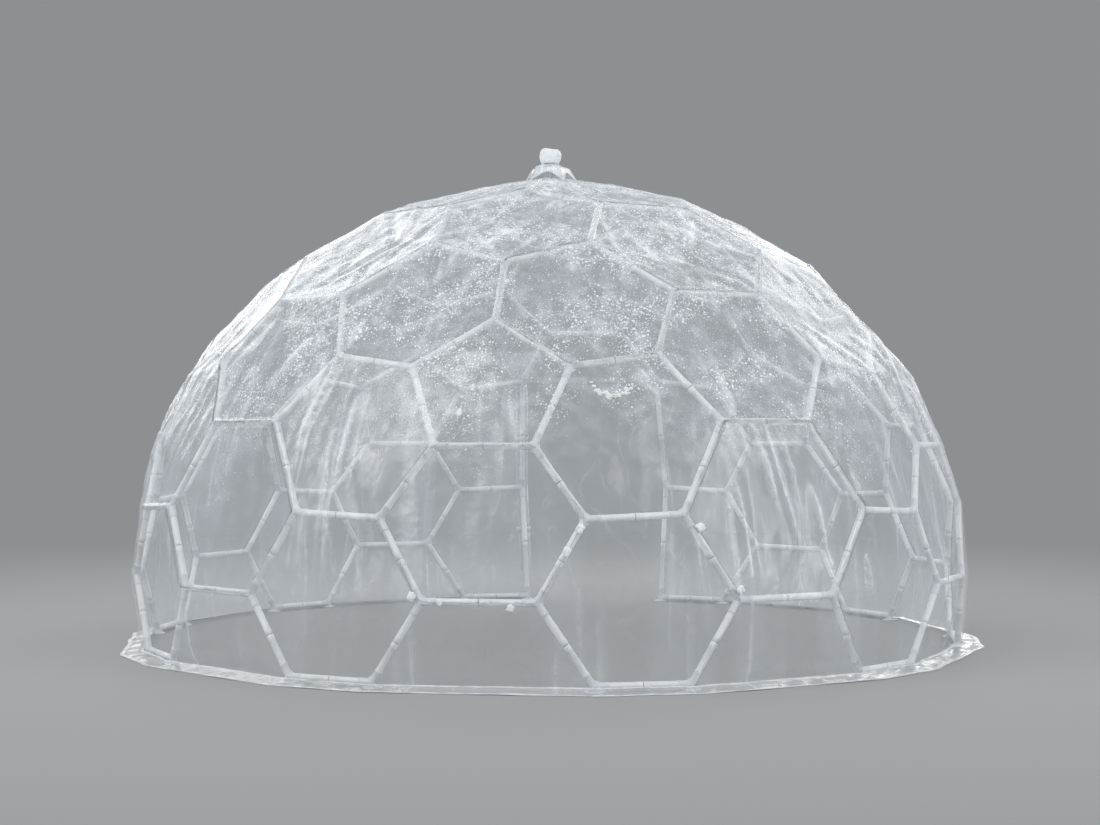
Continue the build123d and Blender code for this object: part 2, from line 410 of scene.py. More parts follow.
class NodeBench:
    """Places and links the nodes of a material or group."""

    def __init__(self, tree: Tree) -> None:
        """Takes the tree to work on.

        Args:
            tree: A node tree.
        """
        self.tree = tree

    def node(self, kind: str, settings: dict | None = None, **inputs: Feed) -> Node:
        """Adds a node.

        Args:
            kind: Its type.
            settings: Properties to set on it.
            inputs: Socket name, with underscores for spaces, and a value or a socket to link.

        Returns:
            The node.
        """
        made = self.tree.nodes.new(kind)
        for name, value in (settings or {}).items():
            setattr(made, name, value)
        for name, value in inputs.items():
            self.feed(made.inputs[name.replace("_", " ")], value)
        return made

    def feed(self, socket: Socket, value: Feed) -> None:
        """Links a socket to a socket, or sets its value.

        Args:
            socket: An input.
            value: What it takes.
        """
        if isinstance(value, Socket):
            self.tree.links.new(value, socket)
        else:
            socket.default_value = value

    def math(
            self, operation: str, first: Feed, second: Feed = 0.0, third: Feed = 0.0,
            clamp: bool = False) -> Socket:
        """Adds a Math node.

        Args:
            operation: What it does.
            first: Its first value or socket.
            second: Its second value or socket.
            third: Its third value or socket, for the operations that have one.
            clamp: True to keep the result from 0 to 1.

        Returns:
            Its output.
        """
        made = self.node("ShaderNodeMath", {"operation": operation, "use_clamp": clamp})
        for socket, value in zip(made.inputs, (first, second, third)):
            self.feed(socket, value)
        return made.outputs[0]

    def plus(self, first: Feed, second: Feed, clamp: bool = False) -> Socket:
        """One value and another."""
        return self.math("ADD", first, second, clamp=clamp)

    def less(self, first: Feed, second: Feed, clamp: bool = False) -> Socket:
        """One value less another."""
        return self.math("SUBTRACT", first, second, clamp=clamp)

    def times(self, first: Feed, second: Feed, clamp: bool = False) -> Socket:
        """One value times another."""
        return self.math("MULTIPLY", first, second, clamp=clamp)

    def times_plus(self, first: Feed, second: Feed, third: Feed) -> Socket:
        """One value times another, and a third."""
        return self.math("MULTIPLY_ADD", first, second, third)

    def off_middle(self, value: Feed) -> Socket:
        """How far a value is from a half, either way."""
        return self.math("ABSOLUTE", self.less(value, 0.5))

    def vector(self, operation: str, *values: Feed) -> Node:
        """Adds a Vector Math node.

        Args:
            operation: What it does.
            values: Its values or sockets, in order.

        Returns:
            The node.
        """
        made = self.node("ShaderNodeVectorMath", {"operation": operation})
        for socket, value in zip(made.inputs, values):
            self.feed(socket, value)
        return made

    def place(self) -> Socket:
        """The place of the shaded point on its piece."""
        return self.node("ShaderNodeTexCoord").outputs["Object"]

    def height(self, place: Socket) -> Socket:
        """A place's height."""
        return self.node("ShaderNodeSeparateXYZ", Vector=place).outputs["Z"]

    def ramp(self, value: Feed, low: Feed, high: Feed, to_low: float = 0.0, to_high: float = 1.0) -> Socket:
        """Maps a value smoothly from one range to another.

        Args:
            value: The value or socket.
            low: What maps to to_low.
            high: What maps to to_high.
            to_low: The result at low.
            to_high: The result at high.

        Returns:
            The mapped value.
        """
        made = self.node(
            "ShaderNodeMapRange", {"interpolation_type": "SMOOTHSTEP"},
            Value=value, From_Min=low, From_Max=high, To_Min=to_low, To_Max=to_high)
        return made.outputs["Result"]

    def mix(self, share: Feed, first: Feed, second: Feed) -> Socket:
        """Mixes two colours.

        Args:
            share: How much of the second.
            first: A colour or socket.
            second: A colour or socket.

        Returns:
            The mixed colour.
        """
        made = self.node("ShaderNodeMix", {"data_type": "RGBA"})
        factor, first_colour, second_colour, colour = 0, 6, 7, 2
        for socket, value in ((factor, share), (first_colour, first), (second_colour, second)):
            self.feed(made.inputs[socket], value)
        return made.outputs[colour]

    def noise(
            self, place: Socket, scale: Feed, detail: float, distortion: float = 0.0,
            output: str = "Fac") -> Socket:
        """Adds a Noise Texture.

        Args:
            place: The place's socket.
            scale: Its lumps in a metre.
            detail: How much finer noise it has in it.
            distortion: How much it is swirled.
            output: Which of its outputs to give.

        Returns:
            The output.
        """
        made = self.node(
            "ShaderNodeTexNoise", Vector=place, Scale=scale, Detail=detail, Distortion=distortion)
        return made.outputs[output]


class Effect(Enum):
    """The shader effects that several materials share."""

    FROST = "frost_speckle"
    DUST = "snow_dust"
    GRIME = "handling_grime"
    GRAIN = "moulded_grain"
    CREASE = "film_creases"
    RUNS = "melt_runs"


class EffectRack:
    """Builds each shared effect's node group once and hands it out."""

    def __init__(self) -> None:
        """Starts with no groups made."""
        self.groups: dict[Effect, Tree] = {}

    def get(self, effect: Effect) -> Tree:
        """Hands out an effect's node group, built the first time.

        Args:
            effect: Which effect.

        Returns:
            The group.
        """
        if effect not in self.groups:
            self.groups[effect] = getattr(self, effect.value)(effect.value)
        return self.groups[effect]

    @staticmethod
    def begin(
            name: str, inputs: dict[str, float], outputs: list[str]
    ) -> tuple[NodeBench, dict[str, Socket], dict[str, Socket]]:
        """Starts a group.

        Args:
            name: Its name.
            inputs: Names and default values of its number inputs.
            outputs: Names of its number outputs.

        Returns:
            The bench, the input sockets by name, and the output sockets by name.
        """
        tree = bpy.data.node_groups.new(name, "ShaderNodeTree")
        for title, value in inputs.items():
            socket = tree.interface.new_socket(title, in_out="INPUT", socket_type="NodeSocketFloat")
            socket.default_value = value
        for title in outputs:
            tree.interface.new_socket(title, in_out="OUTPUT", socket_type="NodeSocketFloat")
        bench = NodeBench(tree)
        given = bench.node("NodeGroupInput").outputs
        result = bench.node("NodeGroupOutput").inputs
        return bench, {title: given[title] for title in inputs}, {title: result[title] for title in outputs}

    @staticmethod
    def cover(bench: NodeBench, given: dict[str, Socket], place: Socket, scale: float, depth: float) -> Socket:
        """How thickly a height is covered, with an uneven lower edge.

        Args:
            bench: The group's bench.
            given: The group's inputs, with Low and High among them.
            place: The place's socket.
            scale: Swings of the edge in a metre.
            depth: How far the edge swings, in metres.

        Returns:
            The cover, from 0 to 1.
        """
        wander = bench.times(bench.less(bench.noise(place, scale, 1.0), 0.5), depth)
        return bench.ramp(bench.plus(bench.height(place), wander), given["Low"], given["High"])

    def frost_speckle(self, name: str) -> Tree:
        """Fine feathery frost and droplets that fade out below a height.

        Args:
            name: The group's name.

        Returns:
            The group, with Mask out, and Settled, what lies in the folds.
        """
        bench, given, result = self.begin(name, {"Amount": 0.9, "Low": 0.5, "High": 1.2}, ["Mask", "Settled"])
        place = bench.place()
        cover = self.cover(bench, given, place, 2.2, 0.7)
        patch = bench.ramp(bench.noise(place, 5.0, 1.0), 0.36, 0.62, 0.55, 1.0)
        share = bench.times(cover, patch)
        swirl, reach = bench.noise(place, 130.0, 0.0, output="Color"), 0.009
        uneven = bench.vector("MULTIPLY_ADD", swirl, (reach, reach, reach), place).outputs[0]
        coarse, fine = (self.flecks(bench, uneven, scale, share) for scale in (92.0, 185.0))
        haze = bench.times(bench.ramp(bench.noise(place, 17.0, 2.0), 0.38, 0.7), 0.45)
        laid = bench.math("MAXIMUM", bench.math("MAXIMUM", coarse, fine), bench.times(haze, share))
        bench.feed(result["Settled"], bench.times(cover, 0.5))
        bench.feed(result["Mask"], bench.times(laid, given["Amount"], clamp=True))
        return bench.tree

    @staticmethod
    def flecks(bench: NodeBench, place: Socket, scale: float, share: Socket) -> Socket:
        """Separate uneven flecks, each with its own size; fewer and smaller where the share is low.

        Args:
            bench: The group's bench.
            place: The place's socket.
            scale: Flecks in a metre.
            share: The socket of how thickly they lie, from 0 to 1.

        Returns:
            The flecks' mask.
        """
        cells = bench.node("ShaderNodeTexVoronoi", Vector=place, Scale=scale, Randomness=1.0)
        chance = bench.node("ShaderNodeSeparateColor", Color=cells.outputs["Color"]).outputs["Red"]
        reach = bench.times(bench.times_plus(chance, 0.68, -0.10), share)
        return bench.ramp(bench.less(reach, cells.outputs["Distance"]), -0.02, 0.12)

    def snow_dust(self, name: str) -> Tree:
        """Powdery white that thickens towards the crown, streaked down the slope.

        Args:
            name: The group's name.

        Returns:
            The group, with Mask out.
        """
        bench, given, result = self.begin(name, {"Amount": 0.7, "Low": 1.35, "High": 1.95}, ["Mask"])
        place = bench.place()
        cover = self.cover(bench, given, place, 6.0, 0.9)
        away = bench.vector("LENGTH", self.level(bench, place)).outputs["Value"]
        drawn = self.around(bench, place, 7.0, bench.times(away, 2.2))
        streak = bench.ramp(bench.noise(drawn, 2.2, 1.0), 0.42, 0.66, 0.35, 1.0)
        powder = bench.ramp(bench.noise(place, 30.0, 2.0), 0.36, 0.6, 0.3, 1.0)
        laid = bench.times(cover, bench.times(powder, streak))
        bench.feed(result["Mask"], bench.times(laid, given["Amount"]))
        return bench.tree

    def melt_runs(self, name: str) -> Tree:
        """Thin pale lines that meltwater leaves down the steep lower film.

        Args:
            name: The group's name.

        Returns:
            The group, with Mask out.
        """
        bench, given, result = self.begin(name, {"Low": 1.05, "High": 1.6}, ["Mask"])
        place = bench.place()
        height = bench.height(place)
        thin = self.around(bench, place, 42.0, bench.times(height, 1.3))
        wide = self.around(bench, place, 9.0, bench.times(height, 0.9))
        lines = bench.ramp(bench.noise(thin, 1.0, 1.0), 0.52, 0.72)
        veil = bench.ramp(bench.noise(wide, 1.0, 1.0), 0.42, 0.68)
        both = bench.times(bench.times_plus(lines, 0.7, 0.3), veil)
        fade = bench.ramp(height, given["Low"], given["High"], 1.0, 0.0)
        bench.feed(result["Mask"], bench.times(both, fade))
        return bench.tree

    @staticmethod
    def level(bench: NodeBench, place: Socket) -> Socket:
        """A place brought down to the ground, so that it says only how far out it is and on which side."""
        return bench.vector("MULTIPLY", place, (1.0, 1.0, 0.0)).outputs[0]

    def around(self, bench: NodeBench, place: Socket, scale: float, down: Socket) -> Socket:
        """A place that changes fast round the dome and slowly down its side.

        Args:
            bench: The group's bench.
            place: The place's socket.
            scale: How fast it changes round the dome.
            down: The socket of what changes down the side.

        Returns:
            The new place's socket.
        """
        bearing = bench.vector("NORMALIZE", self.level(bench, place)).outputs[0]
        slow = bench.node("ShaderNodeCombineXYZ", Z=down).outputs[0]
        return bench.vector("MULTIPLY_ADD", bearing, (scale, scale, 0.0), slow).outputs[0]

    def handling_grime(self, name: str) -> Tree:
        """Soft dull patches and specks from handling and weather, heavier near the ground.

        Args:
            name: The group's name.

        Returns:
            The group, with Mask out.
        """
        bench, given, result = self.begin(name, {"Amount": 0.5, "Scale": 9.0}, ["Mask"])
        place = bench.place()
        patches = bench.ramp(bench.noise(place, given["Scale"], 2.0), 0.48, 0.75)
        specks = bench.ramp(bench.noise(place, 240.0, 0.0), 0.62, 0.74)
        low = bench.ramp(bench.height(place), 0.45, 0.0, 0.55, 1.0)
        both = bench.plus(patches, bench.times(specks, 0.6), clamp=True)
        bench.feed(result["Mask"], bench.times(bench.times(both, low), given["Amount"]))
        return bench.tree

    def moulded_grain(self, name: str) -> Tree:
        """The fine pebbling of moulded and drawn plastic.

        Args:
            name: The group's name.

        Returns:
            The group, with Height out.
        """
        bench, given, result = self.begin(name, {"Scale": 900.0, "Waviness": 0.4}, ["Height"])
        place = bench.place()
        wave = bench.times(bench.noise(place, 55.0, 1.0), given["Waviness"])
        bench.feed(result["Height"], bench.plus(bench.noise(place, given["Scale"], 1.0), wave))
        return bench.tree

    def film_creases(self, name: str) -> Tree:
        """Small crinkles of soft film: fine sharp lines over broad low waves.

        Args:
            name: The group's name.

        Returns:
            The group, with Height and Ridge out.
        """
        bench, given, result = self.begin(name, {"Scale": 9.0, "Sharpness": 0.5}, ["Height", "Ridge"])
        drawn = bench.node("ShaderNodeMapping", Vector=bench.place(), Scale=(1.0, 1.0, 0.45)).outputs[0]
        broad = bench.noise(drawn, given["Scale"], 0.0, distortion=1.2)
        line = bench.ramp(bench.off_middle(broad), 0.0, 0.06, 1.0, 0.0)
        wave = bench.noise(drawn, 4.0, 1.0)
        bench.feed(result["Height"], bench.plus(wave, bench.times(line, given["Sharpness"])))
        bench.feed(result["Ridge"], line)
        return bench.tree


@dataclass(frozen=True)
class Finish:
    """What every finish has: a name, a colour and a sheen."""

    name: str
    colour: Colour
    rough: float

    def begin(self) -> tuple[Material, NodeBench, Node]:
        """Starts the material.

        Returns:
            The material, its bench and its shader node.
        """
        material = bpy.data.materials.new(self.name)
        material.use_nodes = True
        bench = NodeBench(material.node_tree)
        shader = next(node for node in material.node_tree.nodes if node.type == "BSDF_PRINCIPLED")
        return material, bench, shader

    @staticmethod
    def effect(bench: NodeBench, rack: EffectRack, effect: Effect, **inputs: Feed) -> bpy.types.NodeOutputs:
        """Places a shared effect in a material and gives its outputs."""
        return bench.node("ShaderNodeGroup", {"node_tree": rack.get(effect)}, **inputs).outputs

    @staticmethod
    def bump(
            bench: NodeBench, height: Socket, strength: float, distance: float,
            below: Socket | None = None) -> Socket:
        """Adds a Bump node.

        Args:
            bench: The material's bench.
            height: The height's socket.
            strength: How strong it is, from 0 to 1.
            distance: How high it is in metres.
            below: The normal of a bump under this one.

        Returns:
            The bumped normal.
        """
        made = bench.node("ShaderNodeBump", Strength=strength, Distance=distance, Height=height)
        if below is not None:
            bench.feed(made.inputs["Normal"], below)
        return made.outputs[0]


@dataclass(frozen=True)
class RigidPlastic(Finish):
    """Rigid plastic: white drawn tube or moulded hub, and the dark painted shade in the tubes' joint gaps."""

    soiled: Colour = (0.50, 0.50, 0.49, 1.0)
    grime: float = 0.5
    grime_rough: float = 0.35
    grain: float = 900.0
    grain_height: float = 0.00006
    index: float = 1.53

    def material(self, rack: EffectRack) -> Material:
        """Builds the material.

        Args:
            rack: The shared effects.

        Returns:
            The material.
        """
        material, bench, shader = self.begin()
        grime = self.effect(bench, rack, Effect.GRIME, Amount=self.grime)["Mask"]
        grain = self.effect(bench, rack, Effect.GRAIN, Scale=self.grain)["Height"]
        bench.feed(shader.inputs["Base Color"], bench.mix(grime, self.colour, self.soiled))
        bench.feed(shader.inputs["Roughness"], bench.times_plus(grime, self.grime_rough, self.rough))
        bench.feed(shader.inputs["Normal"], self.bump(bench, grain, 0.5, self.grain_height))
        shader.inputs["IOR"].default_value = self.index
        return material


@dataclass(frozen=True)
class SoftFilm(Finish):
    """Clear soft plastic film with frost on it."""

    clear: float = 0.145
    frosted: float = 0.74
    edge: float = 0.3
    edge_blend: float = 0.35
    frost_low: float = 0.42
    frost_high: float = 1.2
    frost_rough: float = 0.45
    dust: float = 0.6
    runs: float = 0.4
    white: Colour = (0.93, 0.95, 0.97, 1.0)
    line_white: float = 0.04
    fold_white: float = 0.12
    crinkle_scale: float = 24.0
    crinkle_share: float = 1.6
    crease_height: float = 0.004
    index: float = 1.9
    sheen_index: float = 1.95
    sheen_rough: float = 0.18

    def material(self, rack: EffectRack) -> Material:
        """Builds the material.

        Args:
            rack: The shared effects.

        Returns:
            The material.
        """
        material, bench, shader = self.begin()
        fold = bench.node("ShaderNodeAttribute", {"attribute_name": "crease"}).outputs["Fac"]
        crease = self.effect(bench, rack, Effect.CREASE)
        white = self.whiteness(bench, rack, fold)
        bench.feed(shader.inputs["Base Color"], bench.mix(white, self.colour, self.white))
        bench.feed(shader.inputs["Roughness"], bench.times_plus(white, self.frost_rough, self.rough))
        facing = bench.node("ShaderNodeLayerWeight", Blend=self.edge_blend).outputs["Facing"]
        rim = bench.times(bench.math("POWER", facing, 2.0), self.edge)
        line = bench.times(crease["Ridge"], self.line_white)
        ridge = bench.plus(line, bench.times(bench.math("POWER", fold, 2.0), self.fold_white))
        body = bench.plus(bench.times(white, self.frosted), self.clear)
        bench.feed(shader.inputs["Alpha"], bench.plus(bench.plus(body, rim), ridge, clamp=True))
        crinkle = bench.off_middle(bench.noise(bench.place(), self.crinkle_scale, 0.0))
        folded = bench.times_plus(crinkle, -self.crinkle_share, crease["Height"])
        bench.feed(shader.inputs["Normal"], self.bump(bench, folded, 0.7, self.crease_height))
        bench.feed(shader.inputs["Coat Weight"], bench.less(1.0, white, clamp=True))
        shader.inputs["Coat IOR"].default_value = self.sheen_index
        shader.inputs["Coat Roughness"].default_value = self.sheen_rough
        shader.inputs["IOR"].default_value = self.index
        return material

    def whiteness(self, bench: NodeBench, rack: EffectRack, fold: Socket) -> Socket:
        """How white the film is with frost, snow dust and meltwater's runs.

        Args:
            bench: The material's bench.
            rack: The shared effects.
            fold: The socket of how sharply the film is folded.

        Returns:
            The whiteness, from 0 to 1.
        """
        frost = self.effect(bench, rack, Effect.FROST, Low=self.frost_low, High=self.frost_high)
        dust = self.effect(bench, rack, Effect.DUST, Amount=self.dust)["Mask"]
        runs = bench.times(self.effect(bench, rack, Effect.RUNS)["Mask"], self.runs)
        settled = bench.times(bench.math("POWER", fold, 1.5), frost["Settled"])
        laid = bench.plus(bench.plus(frost["Mask"], dust), settled)
        return bench.plus(laid, runs, clamp=True)


@dataclass(frozen=True)
class WeldedBand(Finish):
    """Two layers of film welded into a whitish band with a fine pressed pattern."""

    soiled: Colour = (0.40, 0.39, 0.36, 1.0)
    thinnest: float = 0.64
    thickest: float = 0.92
    pattern: float = 420.0
    crease_height: float = 0.003
    pattern_height: float = 0.0003
    index: float = 1.5

    def material(self, rack: EffectRack) -> Material:
        """Builds the material.

        Args:
            rack: The shared effects.

        Returns:
            The material.
        """
        material, bench, shader = self.begin()
        place = bench.place()
        grime = self.effect(bench, rack, Effect.GRIME, Amount=0.6, Scale=14.0)["Mask"]
        crease = self.effect(bench, rack, Effect.CREASE, Scale=22.0)["Height"]
        bench.feed(shader.inputs["Base Color"], bench.mix(grime, self.colour, self.soiled))
        shader.inputs["Roughness"].default_value = self.rough
        cloud = bench.ramp(bench.noise(place, 30.0, 4.0), 0.3, 0.7, self.thinnest, self.thickest)
        bench.feed(shader.inputs["Alpha"], cloud)
        pressed = bench.node("ShaderNodeTexChecker", Vector=place, Scale=self.pattern).outputs["Fac"]
        creased = self.bump(bench, crease, 0.6, self.crease_height)
        bench.feed(shader.inputs["Normal"], self.bump(bench, pressed, 0.25, self.pattern_height, creased))
        shader.inputs["IOR"].default_value = self.index
        return material


@dataclass(frozen=True)
class WovenTape(Finish):
    """Woven tape of the ties."""

    soiled: Colour = (0.35, 0.34, 0.32, 1.0)
    pitch: float = 520.0
    weave_height: float = 0.0004

    def material(self, rack: EffectRack) -> Material:
        """Builds the material.

        Args:
            rack: The shared effects.

        Returns:
            The material.
        """
        material, bench, shader = self.begin()
        grime = self.effect(bench, rack, Effect.GRIME, Amount=0.7, Scale=20.0)["Mask"]
        weave = bench.node("ShaderNodeTexChecker", Vector=bench.place(), Scale=self.pitch).outputs["Fac"]
        bench.feed(shader.inputs["Base Color"], bench.mix(grime, self.colour, self.soiled))
        shader.inputs["Roughness"].default_value = self.rough
        bench.feed(shader.inputs["Normal"], self.bump(bench, weave, 0.5, self.weave_height))
        return material


@dataclass(frozen=True)
class FrostLump(Finish):
    """Packed frost."""

    shaded: Colour = (0.80, 0.84, 0.88, 1.0)
    glow: float = 0.4
    glow_reach: Point = (0.01, 0.012, 0.014)
    grain_height: float = 0.003

    def material(self, rack: EffectRack) -> Material:
        """Builds the material.

        Args:
            rack: The shared effects, of which this one uses the grain.

        Returns:
            The material.
        """
        material, bench, shader = self.begin()
        shade = bench.ramp(bench.noise(bench.place(), 60.0, 5.0), 0.3, 0.7)
        grain = self.effect(bench, rack, Effect.GRAIN, Scale=260.0, Waviness=1.2)["Height"]
        bench.feed(shader.inputs["Base Color"], bench.mix(shade, self.shaded, self.colour))
        shader.inputs["Roughness"].default_value = self.rough
        shader.inputs["Subsurface Weight"].default_value = self.glow
        shader.inputs["Subsurface Radius"].default_value = self.glow_reach
        bench.feed(shader.inputs["Normal"], self.bump(bench, grain, 0.8, self.grain_height))
        return material


class FinishShelf:
    """Every material of the dome, each made once."""

    def __init__(self) -> None:
        """Builds them all."""
        rack = EffectRack()
        self.tube = RigidPlastic(
            "white_tube_plastic", (0.86, 0.87, 0.88, 1.0), 0.28, grime=0.22).material(rack)
        self.hub = RigidPlastic(
            "white_hub_plastic", (0.74, 0.76, 0.78, 1.0), 0.42, grime=0.4,
            grain=700.0, grain_height=0.0001).material(rack)
        # The joint finish's dark grey is painted shade: it stands for the shadow inside the sunken gap between a
        # tube's two halves, not a dark plastic.
        self.joint = RigidPlastic("joint_gap_painted_shade", (0.22, 0.22, 0.23, 1.0), 0.6).material(rack)
        self.film = SoftFilm("clear_cover_film", (0.74, 0.79, 0.83, 1.0), 0.13).material(rack)
        self.rolled = SoftFilm(
            "rolled_door_film", (0.76, 0.80, 0.83, 1.0), 0.2, clear=0.66, frosted=0.3,
            frost_low=0.2, frost_high=1.6, dust=0.3).material(rack)
        self.cap = SoftFilm(
            "vent_cap_film", (0.80, 0.84, 0.87, 1.0), 0.2, clear=0.45, frosted=0.45, dust=0.9).material(rack)
        self.hem = SoftFilm(
            "hem_film", (0.76, 0.80, 0.83, 1.0), 0.16, clear=0.3, frosted=0.5).material(rack)
        self.band = WeldedBand("welded_band_film", (0.80, 0.82, 0.83, 1.0), 0.38).material(rack)
        self.tape = WovenTape("woven_tie_tape", (0.78, 0.79, 0.79, 1.0), 0.75).material(rack)
        self.frost = FrostLump("packed_frost", (0.94, 0.96, 0.98, 1.0), 0.65).material(rack)


# The rigid frame

@dataclass
class TubeSet:
    """Round tubes in two halves with a sleeve joint in the middle."""

    network: Network
    finishes: FinishShelf
    sides: int = 16
    overlap: float = 0.006
    joint_half: float = 0.019
    joint_radius: float = 0.0131
    joint_ease: float = 0.0015
    joint_step: float = 0.0003
    joint_bevel: float = 0.0007
    gap_half: float = 0.0013
    gap_depth: float = 0.0012
    pin_radius: float = 0.0032
    pin_height: float = 0.0014
    pin_sink: float = 0.0005
    pin_sides: int = 8

    def build(self) -> None:
        """Makes every tube and replaces the plain bars with them."""
        groups: dict[str, list[frozenset]] = {}
        network = self.network
        for pair in sorted(network.pairs, key=sorted):
            here, there = sorted(pair)
            if network.is_ground(network.unit[here]) and network.is_ground(network.unit[there]):
                name = "base_tubes"
            elif pair in network.posts:
                name = "door_posts"
            else:
                name = network.tier((network.unit[here] + network.unit[there]).normalized()) + "_tubes"
            groups.setdefault(name, []).append(pair)
        for name, pairs in groups.items():
            works = MeshWorks(f"{name}_round")
            for pair in pairs:
                self.tube(works, *(network.place[key] for key in sorted(pair)))
            made = works.make([self.finishes.tube, self.finishes.joint])
            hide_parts(name)

    def tube(self, works: MeshWorks, start: Vector, end: Vector) -> None:
        """Adds one tube.

        Args:
            works: The mesh it goes into.
            start: One hub's middle.
            end: The other hub's middle.
        """
        sizes = self.network.sizes
        way = (end - start).normalized()
        half = (end - start).length / 2
        middle = (start + end) / 2
        outward = self.network.outward(middle)
        radius, joint, step = sizes.tube_radius, self.joint_radius, self.joint_step
        collar_at, gap_at = half - self.joint_half, half - self.gap_half
        rings = [
            (sizes.hub_reach - self.overlap, radius), (collar_at - self.joint_ease, radius),
            (collar_at - self.joint_ease + step, joint - step), (collar_at, joint),
            (gap_at - self.joint_bevel, joint), (gap_at, joint - self.joint_bevel),
        ]
        for near, side in ((start, 1), (end, -1)):
            works.turned(near, way * side, rings, self.sides, outward)
        sunk, wide = joint - self.gap_depth, self.gap_half * 1.5
        # The sunken gap between the halves takes the joint finish, whose dark grey is painted shade in the gap.
        works.turned(middle - way * wide, way, [(0.0, sunk), (wide * 2, sunk)], self.sides, outward, finish=1)
        first, _ = across(way, outward)
        pin_rings = [
            (0.0, self.pin_radius), (self.pin_height - self.pin_sink, self.pin_radius * 0.9),
            (self.pin_height, self.pin_radius * 0.55),
        ]
        for side in (1, -1):
            for turn in (1, -1):
                pin = middle + way * (side * self.joint_half * 0.55) + first * (turn * (joint - self.pin_sink))
                works.turned(pin, first * turn, pin_rings, self.pin_sides, way)


@dataclass
class HubSet:
    """Moulded hubs: sleeves with lips, webs between them, a boss outside, and soles on the ground row."""

    network: Network
    finishes: FinishShelf
    sides: int = 14
    draft: float = 0.0004
    root_length: float = 0.010
    lip: float = 0.0007
    lip_length: float = 0.0075
    lip_ease: float = 0.001
    lip_bevel: float = 0.0012
    mouth: float = 0.0002
    ball_rows: int = 7
    boss_radius: float = 0.0085
    boss_height: float = 0.0002
    boss_bevel: float = 0.0006
    boss_draft: float = 0.0007
    web_half: float = 0.0016
    web_reach: float = 0.036
    web_waist: float = 0.62
    sole_radius: float = 0.034
    sole_thickness: float = 0.005
    sole_bevel: float = 0.0015
    sole_foot: float = 0.001
    sole_sides: int = 24
    stem_radius: float = 0.0125
    stem_taper: float = 0.001
    fin_half: float = 0.0015
    fin_inner: float = 0.008
    fin_top: float = 0.011
    fin_inset: float = 0.005
    fin_drop: float = 0.004

    def build(self) -> None:
        """Makes every hub and replaces the plain ones with them."""
        groups: dict[str, list[Key]] = {}
        network = self.network
        for key in sorted(network.place):
            unit = network.unit[key]
            name = "ground_hubs" if network.is_ground(unit) else network.tier(unit) + "_hubs"
            groups.setdefault(name, []).append(key)
        for name, keys in groups.items():
            works = MeshWorks(f"{name}_moulded")
            for key in keys:
                self.hub(works, key)
                if name == "ground_hubs":
                    self.sole(works, network.place[key])
            made = works.make([self.finishes.hub])
            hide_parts(name)

    def hub(self, works: MeshWorks, key: Key) -> None:
        """Adds one hub.

        Args:
            works: The mesh it goes into.
            key: The hub's key.
        """
        network, sizes = self.network, self.network.sizes
        middle = network.place[key]
        outward = network.outward(middle)
        ways = [(network.place[other] - middle).normalized() for other in network.links[key]]
        radius, reach = sizes.hub_radius - self.draft, sizes.hub_reach
        lip_at, lip_radius = reach - self.lip_length, radius + self.lip
        sleeve = [
            (0.0, radius * 0.9), (self.root_length, radius), (lip_at - self.lip_ease, radius),
            (lip_at, lip_radius), (reach - self.lip_bevel, lip_radius), (reach, lip_radius - self.lip_ease),
            (reach, sizes.tube_radius + self.mouth),
        ]
        for way in ways:
            works.turned(middle, way, sleeve, self.sides, outward)
        ball, tip = radius * 1.02, 0.0004
        slices = [math.pi * row / self.ball_rows for row in range(self.ball_rows + 1)]
        rings = [(ball * (1 - math.cos(tilt)), max(tip, ball * math.sin(tilt))) for tilt in slices]
        works.turned(middle - outward * ball, outward, rings, self.sides, ways[0])
        boss, face = self.boss_radius, radius * 0.2 + self.boss_height
        rings = [(0.0, boss), (face, boss), (face + self.boss_bevel, boss - self.boss_draft)]
        works.turned(middle + outward * (radius * 0.8), outward, rings, self.sides, ways[0])
        for first, second in combinations(ways, 2):
            if first.dot(second) > -0.9:
                self.web(works, middle, first, second)

    def web(self, works: MeshWorks, middle: Vector, first: Vector, second: Vector) -> None:
        """Adds the thin web in the crotch between two sleeves.

        Args:
            works: The mesh it goes into.
            middle: The hub's middle.
            first: One sleeve's direction.
            second: The other sleeve's direction.
        """
        normal = first.cross(second).normalized() * self.web_half
        waist = (first + second).normalized() * (self.web_reach * self.web_waist)
        outline = [middle, middle + first * self.web_reach, middle + waist, middle + second * self.web_reach]
        points = [point + normal for point in outline] + [point - normal for point in outline]
        faces = [(0, 1, 2, 3), (7, 6, 5, 4), (1, 5, 6, 2), (2, 6, 7, 3)]
        works.add(points, faces, flat=True)

    def sole(self, works: MeshWorks, middle: Vector) -> None:
        """Adds the round sole, its stem and four fins under a ground hub.

        Args:
            works: The mesh it goes into.
            middle: The hub's middle.
        """
        ground = Vector((middle.x, middle.y, 0.0))
        radius, thick = self.sole_radius, self.sole_thickness
        works.turned(ground, UP, [
            (0.0, radius - self.sole_foot), (self.sole_foot, radius), (thick - self.sole_bevel, radius),
            (thick, radius - self.sole_bevel), (thick, self.stem_radius),
            (middle.z, self.stem_radius - self.stem_taper)], self.sole_sides, RIGHT)
        for turn in range(4):
            out = spoke(RIGHT, BACK, FULL * (turn + 0.5) / 4)
            side = Vector((-out.y, out.x, 0.0)) * self.fin_half
            outline = [
                ground + out * self.fin_inner + UP * thick,
                ground + out * (radius - self.fin_inset) + UP * thick,
                ground + out * self.fin_top + UP * (middle.z - self.fin_drop),
            ]
            points = [point + side for point in outline] + [point - side for point in outline]
            works.add(points, [(0, 1, 2), (5, 4, 3), (1, 4, 5, 2)], flat=True)


# The cover

@dataclass
class Fold:
    """A long soft ridge or trough in the film, along a great circle."""

    start: Vector
    end: Vector
    width: float
    height: float


